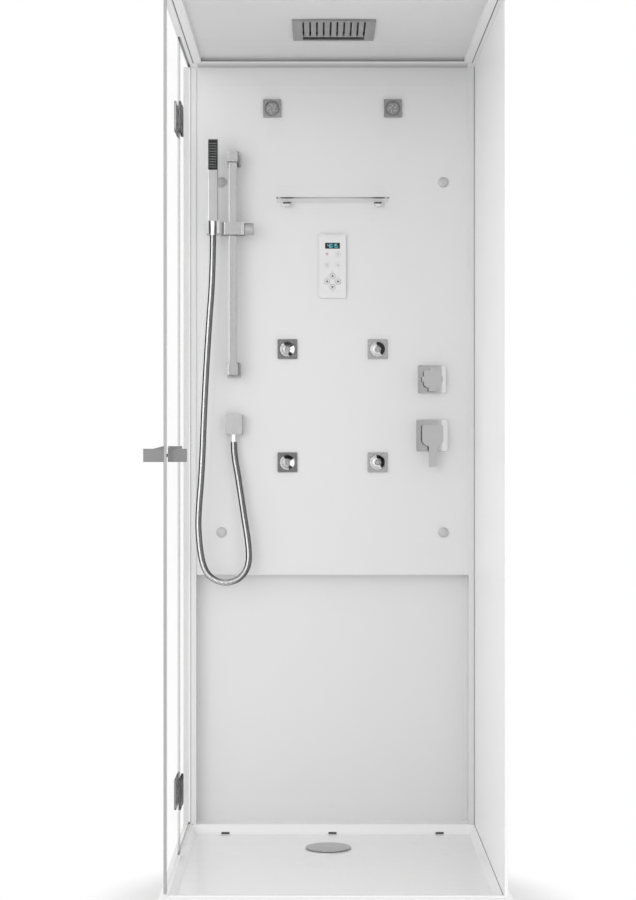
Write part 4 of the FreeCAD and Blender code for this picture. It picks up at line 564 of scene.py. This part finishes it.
def buildHose():
    points = smoothLine(hose["route"])
    spots, length = walk(points, hose["pitch"] / hose["ribSteps"])
    shape = bmesh.new()
    normal, rings = Vector((1, 0, 0)), []
    for index, spot in enumerate(spots):
        ahead = spots[min(index + 1, len(spots) - 1)]
        behind = spots[max(index - 1, 0)]
        along = (ahead - behind).normalized()
        normal = (normal - along * normal.dot(along)).normalized()
        dip = hose["groove"] * (
            0.5 - 0.5 * math.cos(2 * math.pi * index / hose["ribSteps"])) ** 2
        rings += turnedRings(shape, [(hose["radius"] - dip, 0)], spot, normal, along,
                             hose["around"])
    skin(shape, rings)
    shape.faces.new(list(reversed(rings[0])))
    shape.faces.new(rings[-1])
    bmesh.ops.recalc_face_normals(shape, faces=shape.faces)
    piece = pieceFrom("hoseSkin", shape, hose["follows"], "chromeHose", smooth=True)
    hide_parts("hose")
    print("stage: hose laid, %.3f m" % length)


buildHose()


# spray nozzles on the hand shower
sprayGrid = {"columns": 5, "rows": 10, "side": 0.0040, "head": 0.0100, "foot": 0.0070,
             "radius": 0.0007, "stand": 0.0008, "around": 10,
             # radius and height along a nozzle, as shares of the two above
             "profile": ((1.25, -0.375), (1, 0.4), (0.85, 1), (0.4, 1), (0.35, 0.3))}


def buildSprayNozzles():
    low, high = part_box("spray_plate")
    grid = sprayGrid
    profile = [(grid["radius"] * wide, grid["stand"] * tall) for wide, tall in grid["profile"]]
    shape = bmesh.new()
    for column in range(grid["columns"]):
        across = column / (grid["columns"] - 1)
        x = low.x + grid["side"] + (high.x - low.x - 2 * grid["side"]) * across
        for row in range(grid["rows"]):
            upward = row / (grid["rows"] - 1)
            z = low.z + grid["foot"] + (high.z - low.z - grid["foot"] - grid["head"]) * upward
            faceSpin(shape, profile, Vector((x, low.y, z)), sideways, outward, grid["around"])
    pieceFrom("sprayNozzles", shape, "handset", "nozzleRubber", smooth=True)


buildSprayNozzles()
print("stage: spray nozzles set")


# control panel marks
marks = {"rise": 0.00025, "icon": 0.0052, "line": 0.0006, "columns": (-0.0147, 0.0147),
         "levels": (1.6598, 1.6303), "digitWide": 0.0048, "digitTall": 0.0092,
         "digitLine": 0.0008, "digitPitch": 0.0066, "ringRadius": 0.0071,
         "ringLine": 0.00045, "arrow": 0.0042, "dash": 0.0022, "dashUp": 0.0118,
         "dashPeak": 0.0006, "dot": 0.0001}


def slab(shape, corners, y, rise):
    # a thin flat plate on the face at y, from corners in X and Z given anticlockwise
    back = [shape.verts.new((x, y, z)) for x, z in corners]
    front = [shape.verts.new((x, y - rise, z)) for x, z in corners]
    shape.faces.new(front)
    shape.faces.new(list(reversed(back)))
    for step in range(len(corners)):
        after = (step + 1) % len(corners)
        shape.faces.new((back[step], back[after], front[after], front[step]))


def stroke(shape, start, end, y, width=None):
    width = width or marks["line"]
    across = Vector((end[0] - start[0], end[1] - start[1])).normalized() * width / 2
    side = Vector((-across.y, across.x))
    slab(shape, [(start[0] - across.x - side.x, start[1] - across.y - side.y),
                 (end[0] + across.x - side.x, end[1] + across.y - side.y),
                 (end[0] + across.x + side.x, end[1] + across.y + side.y),
                 (start[0] - across.x + side.x, start[1] - across.y + side.y)], y, marks["rise"])


def ringStroke(shape, x, z, radius, y, begin=0.0, end=360.0, pieces=20, width=None):
    for step in range(pieces):
        first = math.radians(begin + (end - begin) * step / pieces)
        second = math.radians(begin + (end - begin) * (step + 1) / pieces)
        stroke(shape, (x + math.cos(first) * radius, z + math.sin(first) * radius),
               (x + math.cos(second) * radius, z + math.sin(second) * radius), y, width)


def buildControlMarks():
    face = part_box("control_housing")[0].y
    size = marks["icon"]
    left, right = marks["columns"]
    high, low = marks["levels"]
    power = bmesh.new()
    ringStroke(power, left, high, size * 0.62, face, 115, 425)
    stroke(power, (left, high + size * 0.1), (left, high + size * 0.85), face)
    reach = size * 0.35
    stroke(power, (left - reach, high + reach), (left + reach, high - reach), face,
           width=marks["line"] * 1.8)
    pieceFrom("powerMark", power, "cabin", "markRed")
    icons = bmesh.new()
    # lamp
    ringStroke(icons, right, high + size * 0.15, size * 0.5, face)
    stroke(icons, (right - size * 0.25, high - size * 0.65),
           (right + size * 0.25, high - size * 0.65), face)
    # steam: three waves
    for shift in (-0.45, 0.0, 0.45):
        spots = [(left + size * (shift + 0.12 * math.sin(step * math.pi / 3)),
                  low - size * 0.7 + size * 1.4 * step / 6) for step in range(7)]
        for first, second in zip(spots, spots[1:]):
            stroke(icons, first, second, face)
    # fan: three blades on a hub
    for turn in range(3):
        angle = math.radians(90 + 120 * turn)
        tip = (right + math.cos(angle) * size * 0.7, low + math.sin(angle) * size * 0.7)
        bend = (right + math.cos(angle + 0.6) * size * 0.45,
                low + math.sin(angle + 0.6) * size * 0.45)
        stroke(icons, (right, low), tip, face)
        stroke(icons, tip, bend, face)
        stroke(icons, bend, (right, low), face)
    for x, z in ((right, high), (left, low), (right, low)):
        ringStroke(icons, x, z, marks["ringRadius"], face, pieces=24,
                   width=marks["ringLine"] * 0.5)
    pieceFrom("touchMarks", icons, "cabin", "markGrey")


def buildArrows():
    # a thin ring and a small solid arrow on each key, with a short dash on the housing by it
    dashes = bmesh.new()
    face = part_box("control_housing")[0].y
    for name, turn in (("key_up", 90), ("key_left", 180), ("key_down", 270), ("key_right", 0)):
        lowest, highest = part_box(name)
        x, z = (lowest.x + highest.x) / 2, (lowest.z + highest.z) / 2
        shape = bmesh.new()
        corners = [(x + math.cos(math.radians(turn + step)) * marks["arrow"],
                    z + math.sin(math.radians(turn + step)) * marks["arrow"])
                   for step in (0, 120, 240)]
        slab(shape, corners, lowest.y, marks["rise"])
        ringStroke(shape, x, z, marks["ringRadius"], lowest.y, pieces=32, width=marks["ringLine"])
        pieceFrom("arrow_" + name[4:], shape, name, "arrowInk")
        level = z + (marks["dashUp"] if name != "key_down" else -marks["dashUp"])
        peak = (x, level + marks["dashPeak"])
        stroke(dashes, (x - marks["dash"], level), peak, face)
        stroke(dashes, peak, (x + marks["dash"], level), face)
    pieceFrom("keyDashes", dashes, "cabin", "markGrey")


segments = {"a": (0, 1, 1, 1), "b": (1, 1, 1, 0.5), "c": (1, 0.5, 1, 0), "d": (0, 0, 1, 0),
            "e": (0, 0.5, 0, 0), "f": (0, 1, 0, 0.5), "g": (0, 0.5, 1, 0.5)}
lit = {"0": "abcdef", "1": "bc", "4": "fgbc", "5": "afgcd"}
digitLight = {"colour": (0.18, 0.78, 0.86), "shade": (0.12, 0.66, 0.78), "strength": 0.42}


def digitInk():
    material, tree, shader = newMaterial("displayLight")
    tone = addNode(tree, "Group", node_tree=toneGroup, Scale=300,
                   Colour=(*digitLight["colour"], 1), Shade=(*digitLight["shade"], 1))
    shader.inputs["Emission Strength"].default_value = digitLight["strength"]
    wire(tree, (tone, "Colour", shader, "Base Color"), (tone, "Colour", shader, "Emission Color"),
         (tone, "Roughness", shader, "Roughness"))
    return material


def buildDisplay():
    low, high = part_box("control_display")
    made["displayLight"] = digitInk()
    shape = bmesh.new()
    wide, tall = marks["digitWide"], marks["digitTall"]
    middle = ((low.x + high.x) / 2, (low.z + high.z) / 2)
    for place, digit in zip((-1.6, -0.6, 0.6, 1.6), "4015"):
        x = middle[0] + place * marks["digitPitch"] - wide / 2
        z = middle[1] - tall / 2
        for name in lit[digit]:
            x0, z0, x1, z1 = segments[name]
            stroke(shape, (x + x0 * wide, z + z0 * tall), (x + x1 * wide, z + z1 * tall), low.y,
                   width=marks["digitLine"])
    for shift in (-0.2, 0.2):
        z = middle[1] + tall * shift
        stroke(shape, (middle[0], z - marks["dot"]), (middle[0], z + marks["dot"]), low.y,
               width=marks["digitLine"])
    pieceFrom("displayDigits", shape, "cabin", "displayLight")


buildControlMarks()
buildArrows()
buildDisplay()
print("stage: control panel marked")


# joints and seals, and dark sheets and strips of painted shade and shadow
joints = {"line": 0.0009, "weepSpread": 0.287, "weepWide": 0.0105, "weepIn": 0.0036,
          "floor": 0.105, "basinBack": 0.398,
          "fillet": 0.0022, "filletDeep": 0.003, "clear": 0.0001, "paneLift": 0.006,
          "paneLine": 0.0014, "paneProud": 0.0003, "bulbIn": 0.0002, "bulbOut": 0.0008,
          "bulbDeep": 0.0022, "weepTall": 0.0048, "weepThin": 0.001}


def bar(shape, low, high):
    corners = [shape.verts.new((x, y, z)) for x in (low[0], high[0]) for y in (low[1], high[1])
               for z in (low[2], high[2])]
    for face in ((0, 1, 3, 2), (4, 6, 7, 5), (0, 4, 5, 1), (2, 3, 7, 6), (0, 2, 6, 4),
                 (1, 5, 7, 3)):
        shape.faces.new([corners[index] for index in face])


def buildJoints():
    line = joints["line"]
    postLow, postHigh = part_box("rear_posts")
    glassLow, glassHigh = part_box("left_fixed_glass")
    wallLow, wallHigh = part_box("right_wall_panel")
    panelLow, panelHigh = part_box("upper_back_panel")
    postFace, rim = postLow.y, postLow.z
    dark = bmesh.new()
    # where the side glass and the wall run into the posts, and along the foot of the wall
    bar(dark, (glassHigh.x, postFace - line, rim), (glassHigh.x + line, postFace, postHigh.z))
    bar(dark, (wallLow.x - line * 1.4, postFace - line, rim),
        (wallLow.x, postFace, postHigh.z))
    bar(dark, (wallLow.x - line, wallLow.y, rim), (wallLow.x, postFace - line, rim + line))
    pieceFrom("jointSeals", dark, "cabin", "jointDark")
    # pale fillets in the gaps beside the equipment panel, and behind the end of the fixed pane
    pale = bmesh.new()
    clear, fillet = joints["clear"], joints["fillet"]
    for near, far in ((panelLow.x - fillet, panelLow.x), (panelHigh.x, panelHigh.x + fillet)):
        bar(pale, (near, panelLow.y + clear, panelLow.z),
            (far, panelLow.y + joints["filletDeep"], panelHigh.z))
    bar(pale, (glassLow.x + clear, postFace - line * 0.5, rim + joints["paneLift"]),
        (glassHigh.x - clear, postFace - line * 0.3, postHigh.z))
    pieceFrom("panelFillets", pale, "cabin", "jointPale")
    # the corner of the fixed pane's front edge reads as one fine line
    edge = bmesh.new()
    bar(edge, (glassHigh.x - joints["paneLine"], glassLow.y - joints["paneProud"], glassLow.z),
        (glassHigh.x, glassLow.y, glassHigh.z))
    pieceFrom("paneEdge", edge, "cabin", "paneLine")
    # the bulb of the magnet seal along the free edge of the door
    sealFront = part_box("door_seals")[0].y
    doorLow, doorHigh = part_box("door_glass")
    bulbIn, bulbEdge = joints["bulbIn"], doorHigh.x + joints["bulbOut"]
    # painted shade: the flat bulb is darker towards both its sides, so that it reads round
    paintedShadeRamp("bulbShade", "sealStrip", "X", (doorLow.x, bulbEdge), (
        (0.0, 0.19), (0.16, 0.24), (0.28, 0.41), (0.66, 0.41), (0.82, 0.28), (1.0, 0.22)))
    bulb = bmesh.new()
    bar(bulb, (doorLow.x + bulbIn, sealFront + bulbIn, doorLow.z),
        (bulbEdge, sealFront + joints["bulbDeep"], doorHigh.z))
    pieceFrom("sealBulb", bulb, "door", "bulbShade")
    print("stage: joints sealed")


roofShadowSizes = {"inner": 0.349, "back": 0.333, "foot": 2.162, "ceiling": 2.174, "thin": 0.0006,
            "grooveNear": 0.3720, "grooveFar": 0.3690, "grooveFront": -0.472,
            "grooveBack": 0.3567, "grooveIn": 0.0012, "margin": 0.012, "clear": 0.0004}


def buildRoofShadows():
    shadowSize = roofShadowSizes
    # painted shadow: a sheet on the back wall of the ceiling recess, dark at its foot and lighter
    # towards the ceiling
    paintedShadeRamp("recessShade", "ceilingCoat", "Z", (shadowSize["foot"], shadowSize["ceiling"]),
              ((0.0, 0.12), (0.35, 0.20), (1.0, 0.52)))
    recessShadowSheet = bmesh.new()
    bar(recessShadowSheet, (-shadowSize["inner"] + shadowSize["thin"], shadowSize["back"] - shadowSize["thin"],
                 shadowSize["foot"] + shadowSize["grooveIn"]),
        (shadowSize["inner"] - shadowSize["thin"], shadowSize["back"], shadowSize["ceiling"] - shadowSize["thin"]))
    pieceFrom("recessPaintedShadow", recessShadowSheet, "cabin", "recessShade")
    # painted shadow: dark strips along the grooves of the roof frame
    grooves = bmesh.new()
    for side in (-1, 1):
        near, far = sorted((side * shadowSize["grooveNear"], side * shadowSize["grooveFar"]))
        bar(grooves, (near, shadowSize["grooveFront"], shadowSize["foot"] + shadowSize["grooveIn"]),
            (far, shadowSize["grooveBack"], shadowSize["foot"] + shadowSize["grooveIn"] * 2))
    pieceFrom("grooveShadows", grooves, "cabin", "grooveGrey")
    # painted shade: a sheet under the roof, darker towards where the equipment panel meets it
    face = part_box("upper_back_panel")[0].y
    paintedShadeRamp("cornerShade", "ceilingCoat", "Y", (shadowSize["back"] + shadowSize["margin"], face),
              ((0.0, 0.72), (0.5, 0.50), (1.0, 0.36)))
    corner = bmesh.new()
    side, near = shadowSize["inner"] + shadowSize["margin"], shadowSize["back"] + shadowSize["margin"]
    bar(corner, (-side, near, shadowSize["foot"] - shadowSize["thin"]),
        (side, face - shadowSize["clear"], shadowSize["foot"]))
    pieceFrom("cornerPaintedShadow", corner, "cabin", "cornerShade")


def buildWeeps():
    floor, back = joints["floor"], joints["basinBack"]
    # painted shadow: a dark strip at the back of each weep slot
    shape = bmesh.new()
    for middle in (-joints["weepSpread"], 0.0, joints["weepSpread"]):
        wide, inside = joints["weepWide"], back + joints["weepIn"]
        bar(shape, (middle - wide, inside, floor + joints["clear"] * 2),
            (middle + wide, inside + joints["weepThin"], floor + joints["weepTall"]))
    pieceFrom("weepShadows", shape, "cabin", "wellBlack")


buildJoints()
buildRoofShadows()
buildWeeps()


# jet trumpets with painted reflections, painted highlights and shadow on the bar, the shelf's edge
# line and seats, spot lens ridges and hinge screws
jet = {"outer": 0.0194, "inner": 0.0098, "lip": -0.0045, "floor": 0.0012, "turns": 72,
       "steps": 6, "skin": 0.0003, "lift": 0.0006, "backing": 0.0012, "backIn": 0.003,
       "wedgeTurn": 6, "nozzleLine": 0.0018, "rings": (0.0068, 0.0033), "ringRise": 0.0002,
       "ringSunk": 0.0004, "ringTurns": 40}
# painted reflections on the polished trumpet, the dark and bright stretches: from, to in degrees,
# anticlockwise from +X
jetDark = {"left": ((33, 122), (-76, -44)), "right": ((-52, 100),)}
jetBright = {"left": ((-40, 31),), "right": ()}


def jetProfile(lift):
    # the flared trumpet: radius and height off the panel's face
    profile = []
    for step in range(jet["steps"] + 1):
        part = step / jet["steps"]
        radius = jet["outer"] + (jet["inner"] - jet["outer"]) * part
        depth = jet["lip"] + (jet["floor"] - jet["lip"]) * math.sin(part * math.pi / 2)
        profile.append((radius, -depth + lift))
    return profile


def jetWedge(shape, centre, begin, end):
    lift = jet["lift"]
    profile = jetProfile(lift) + list(reversed(jetProfile(lift - jet["skin"])))
    count = max(3, round((end - begin) / jet["wedgeTurn"]))
    rings = []
    for step in range(count + 1):
        angle = math.radians(begin + (end - begin) * step / count)
        across = Vector((math.cos(angle), 0, math.sin(angle)))
        rings.append([shape.verts.new(centre + across * radius + outward * height)
                      for radius, height in profile])
    skin(shape, rings)
    shape.faces.new(list(reversed(rings[0])))
    shape.faces.new(rings[-1])


def buildJets():
    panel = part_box("upper_back_panel")[0].y
    for name in ("upper_left", "upper_right", "lower_left", "lower_right"):
        side = name.split("_")[1]
        low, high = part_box("jet_" + name)
        centre = Vector(((low.x + high.x) / 2, panel, (low.z + high.z) / 2))
        shape = bmesh.new()
        profile = jetProfile(0.0)
        profile += [(jet["inner"], -jet["floor"] - jet["backing"]),
                    (jet["outer"] - jet["backIn"], -jet["floor"])]
        ringSolid(shape, profile, centre, sideways, outward, jet["turns"])
        # the left trumpets take a darker grey than the right ones: painted reflection of the
        # darker door side
        pieceFrom("trumpet_" + name, shape, "jet_" + name,
                  "jetGrey" if side == "left" else "jetPale", smooth=True)
        dark, bright = bmesh.new(), bmesh.new()
        for wedges, shape in ((jetDark[side], dark), (jetBright[side], bright)):
            for begin, end in wedges:
                jetWedge(shape, centre, begin, end)
        nose = Vector((centre.x, low.y, centre.z))
        foot, head = -jet["ringSunk"], jet["ringRise"]
        for radius in jet["rings"]:
            inside = radius - jet["nozzleLine"]
            ringSolid(dark, [(radius, foot), (radius, head), (inside, head), (inside, foot)],
                      nose, sideways, outward, jet["ringTurns"])
        pieceFrom("jetDark_" + name, dark, "jet_" + name, "mirrorDark", smooth=True)
        if jetBright[side]:
            pieceFrom("jetBright_" + name, bright, "jet_" + name, "mirrorBright",
                      smooth=True)
        else:
            bright.free()


barPaintedLight = {"edge": 0.0024, "out": 0.0002, "line": 0.0016, "shadow": 0.0009, "under": 1.8979,
           "ends": 0.02, "sunk": 0.00005, "slideEnds": 0.0006}


def buildBarPaintedLight():
    # painted highlights along the edges of the bar and the slider, and a painted shadow line under
    # the upper end block
    low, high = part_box("slide_bar")
    slideLow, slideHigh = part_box("slider_body")
    out, sunk, ends = barPaintedLight["out"], barPaintedLight["sunk"], barPaintedLight["ends"]
    bright = bmesh.new()
    bar(bright, (low.x + out, low.y - out, low.z + ends),
        (low.x + barPaintedLight["edge"], low.y - sunk, high.z - ends))
    pieceFrom("barHighlight", bright, "cabin", "highlightPale")
    bright = bmesh.new()
    ends = barPaintedLight["slideEnds"]
    for near in (slideLow.x + out, slideHigh.x - barPaintedLight["line"] - out):
        bar(bright, (near, slideLow.y - out, slideLow.z + ends),
            (near + barPaintedLight["line"], slideLow.y - sunk, slideHigh.z - ends))
    pieceFrom("sliderHighlight", bright, "slider", "highlightPale")
    dark = bmesh.new()
    bar(dark, (low.x + out, low.y - out * 2, barPaintedLight["under"]),
        (high.x - out, low.y - out, barPaintedLight["under"] + barPaintedLight["shadow"]))
    pieceFrom("blockShadow", dark, "cabin", "jointDark")


shelfTrim = {"line": 0.0036, "lift": 0.0018, "out": 0.0004, "seat": 0.01023,
             "seatTall": 0.00372, "sunk": 0.0001, "seatTop": 0.0002, "ends": 0.0006}


def buildShelfTrim():
    # the ground front edge carries a dark line, its own edge colour with painted shade: black at
    # its ends and over the supports
    low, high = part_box("shelf_glass")
    foot, head = high.z - shelfTrim["lift"] - shelfTrim["line"], high.z - shelfTrim["lift"]
    front = low.y - shelfTrim["out"]
    paintedShadeRamp("edgeShade", "ceilingCoat", "X", (low.x, high.x), (
        (0.0, 0.02), (0.015, 0.04), (0.02, 0.45), (0.035, 0.45), (0.045, 0.02), (0.10, 0.0),
        (0.14, 0.02), (0.165, 0.22), (0.30, 0.34), (0.50, 0.42), (0.70, 0.34), (0.835, 0.22),
        (0.86, 0.02), (0.90, 0.0), (0.955, 0.02), (0.965, 0.45), (0.98, 0.45), (0.985, 0.05),
        (1.0, 0.05)))
    shape = bmesh.new()
    bar(shape, (low.x + shelfTrim["ends"], front, foot),
        (high.x - shelfTrim["ends"], low.y - shelfTrim["sunk"], head))
    pieceFrom("shelfLine", shape, "cabin", "edgeShade")
    clampLow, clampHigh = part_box("shelf_clamps")
    seats = bmesh.new()
    tall, half = clampHigh.z - clampLow.z, shelfTrim["seat"]
    foot, head = clampHigh.z - shelfTrim["seatTall"], clampHigh.z - shelfTrim["seatTop"]
    for middle in (clampLow.x + tall, clampHigh.x - tall):
        slab(seats, [(middle - half, foot), (middle + half, foot), (middle + half, head),
                     (middle - half, head)], clampLow.y - shelfTrim["sunk"], shelfTrim["out"])
    pieceFrom("shelfSeats", seats, "cabin", "mirrorDark")


spot = {"ridges": 5, "inner": 0.004, "twist": 1.35, "rise": 0.0009, "rim": 0.0012, "steps": 16,
        "wide": 0.0022, "dish": 0.0028, "sunk": 0.0006}


def buildSpotSwirls():
    # the lens has a swirl of low curved ridges
    low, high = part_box("spot_lenses")
    z = (low.z + high.z) / 2
    half = (high.z - low.z) / 2
    radius, steps = half - spot["rim"], spot["steps"]
    for x in (low.x + half, high.x - half):
        shape = bmesh.new()
        for ridge in range(spot["ridges"]):
            begin = 2 * math.pi * ridge / spot["ridges"]
            rows = []
            for step in range(steps + 1):
                part = step / steps
                angle = begin + spot["twist"] * part
                reach = spot["inner"] + (radius - spot["inner"]) * part
                wide = spot["wide"] * math.sin(math.pi * min(1, part * 1.1 + 0.08))
                dish = low.y + spot["dish"] * (reach / half) ** 2
                along = Vector((math.cos(angle), 0, math.sin(angle)))
                across = Vector((-math.sin(angle), 0, math.cos(angle)))
                crest = Vector((x, dish, z)) + along * reach
                root = crest - outward * spot["sunk"]
                rows.append([shape.verts.new(root - across * wide),
                             shape.verts.new(crest + outward * spot["rise"]),
                             shape.verts.new(root + across * wide)])
            for first, second in zip(rows, rows[1:]):
                for step in range(2):
                    shape.faces.new((first[step], first[step + 1], second[step + 1],
                                     second[step]))
        pieceFrom("spotSwirl_%s" % ("left" if x < 0 else "right"), shape, "cabin", "spotRidge",
                  smooth=True)


screw = {"radius": 0.0042, "socket": 0.0021, "stand": 0.0012, "rise": 0.021, "inset": 0.022,
         "halfLeaf": 0.037, "sunk": 0.0004, "clear": 0.0001, "around": 18}


def buildHingeScrews():
    profile = [(screw["radius"], -screw["sunk"]), (screw["radius"], screw["stand"] * 0.5),
               (screw["radius"] * 0.75, screw["stand"]), (screw["socket"], screw["stand"]),
               (screw["socket"] * 0.95, screw["stand"] * 0.1)]
    for node, body in (("hinge_fixed_leaves", "cabin"), ("hinge_door_leaves", "door")):
        low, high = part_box(node)
        shape = bmesh.new()
        y = high.y - screw["inset"] if body == "cabin" else low.y + screw["inset"]
        for level in (low.z + screw["halfLeaf"], high.z - screw["halfLeaf"]):
            for lift in (-screw["rise"], screw["rise"]):
                for face, up in ((low.x + screw["clear"], -sideways),
                                 (high.x - screw["clear"], sideways)):
                    faceSpin(shape, profile, Vector((face, y, level + lift)),
                             Vector((0, 1, 0)), up, screw["around"])
        pieceFrom("screws_" + body, shape, body, "chromeSatin", smooth=True)


buildJets()
buildBarPaintedLight()
buildShelfTrim()
buildSpotSwirls()
buildHingeScrews()
print("stage: jets, spots and screws detailed")


# floor, world, lights and camera
studio = {
    "floorSize": 40.0, "floorNear": 0.47, "floorFar": 0.66, "paper": (0.88, 0.88, 0.88),
    "paperRough": 0.8, "worldStrength": 0.92,
    "keyPlace": (-2.0, -4.2, 1.9), "keyAim": (0, 0, 1.3), "keySize": 2.6, "keyPower": 50,
    "fillPlace": (2.4, -3.8, 1.6), "fillAim": (0, 0, 1.1), "fillSize": 2.4, "fillPower": 22,
}
view = {"place": (-0.0389, -5.148, 1.161), "lens": 82.8, "shiftY": -10 / 900,
        "clip": (0.1, 100)}


def whiteBackground(tree):
    # camera, mirror and see-through rays meet plain white; every other ray keeps the real shading
    rays = addNode(tree, "LightPath")
    seen = addNode(tree, "Math", operation="MAXIMUM")
    mirrored = addNode(tree, "Math", operation="MAXIMUM")
    wire(tree, (rays, "Is Camera Ray", seen, 0), (rays, "Is Glossy Ray", seen, 1),
         (seen, 0, mirrored, 0), (rays, "Is Transmission Ray", mirrored, 1))
    return mirrored


def buildFloor():
    shape = bmesh.new()
    half = studio["floorSize"] / 2
    shape.faces.new([shape.verts.new((x, y, 0)) for x, y in (
        (-half, -half), (half, -half), (half, half), (-half, half))])
    mesh = bpy.data.meshes.new("studioFloor")
    shape.to_mesh(mesh)
    shape.free()
    floor = newObject("studioFloor", mesh)
    material, tree, paper = newMaterial("floorPaper")
    paper.inputs["Base Color"].default_value = (*studio["paper"], 1)
    paper.inputs["Roughness"].default_value = studio["paperRough"]
    white = addNode(tree, "Emission", Strength=1.0)
    mix = addNode(tree, "MixShader")
    mirrored = whiteBackground(tree)
    place = addNode(tree, "TexCoord")
    reach = addNode(tree, "VectorMath", operation="LENGTH")
    fade = addNode(tree, "MapRange", interpolation_type="SMOOTHSTEP",
                   From_Min=studio["floorNear"], From_Max=studio["floorFar"])
    both = addNode(tree, "Math", operation="MULTIPLY")
    wire(tree, (place, "Object", reach, 0), (reach, "Value", fade, "Value"),
         (fade, "Result", both, 0), (mirrored, 0, both, 1), (both, 0, mix, 0),
         (paper, "BSDF", mix, 1), (white, "Emission", mix, 2),
         (mix, "Shader", tree.nodes["Material Output"], "Surface"))
    mesh.materials.append(material)


def buildWorld():
    world = bpy.data.worlds.new("studioWorld")
    world.use_nodes = True
    scene.world = world
    tree = world.node_tree
    soft = tree.nodes["Background"]
    soft.inputs["Color"].default_value = (1, 1, 1, 1)
    soft.inputs["Strength"].default_value = studio["worldStrength"]
    white = addNode(tree, "Background", Color=(1, 1, 1, 1), Strength=1.0)
    mix = addNode(tree, "MixShader")
    mirrored = whiteBackground(tree)
    wire(tree, (mirrored, 0, mix, 0), (soft, "Background", mix, 1), (white, "Background", mix, 2),
         (mix, "Shader", tree.nodes["World Output"], "Surface"))


def softbox(name):
    lamp = bpy.data.lights.new(name + "Light", "AREA")
    lamp.shape = "SQUARE"
    lamp.size = studio[name + "Size"]
    lamp.energy = studio[name + "Power"]
    holder = newObject(name + "Light", lamp)
    holder.location = studio[name + "Place"]
    holder.rotation_euler = (Vector(studio[name + "Aim"]) - holder.location).to_track_quat(
        "-Z", "Y").to_euler()


def buildCamera():
    eye = bpy.data.cameras.new("mainCamera")
    eye.sensor_fit = "VERTICAL"
    eye.sensor_height = 36
    eye.lens = view["lens"]
    eye.shift_y = view["shiftY"]
    eye.clip_start, eye.clip_end = view["clip"]
    holder = newObject("mainCamera", eye)
    holder.location = view["place"]
    holder.rotation_euler = (math.radians(90), 0, 0)
    scene.camera = holder


buildFloor()
buildWorld()
softbox("key")
softbox("fill")
buildCamera()
scene.view_settings.view_transform = "Standard"
print("stage: studio set")
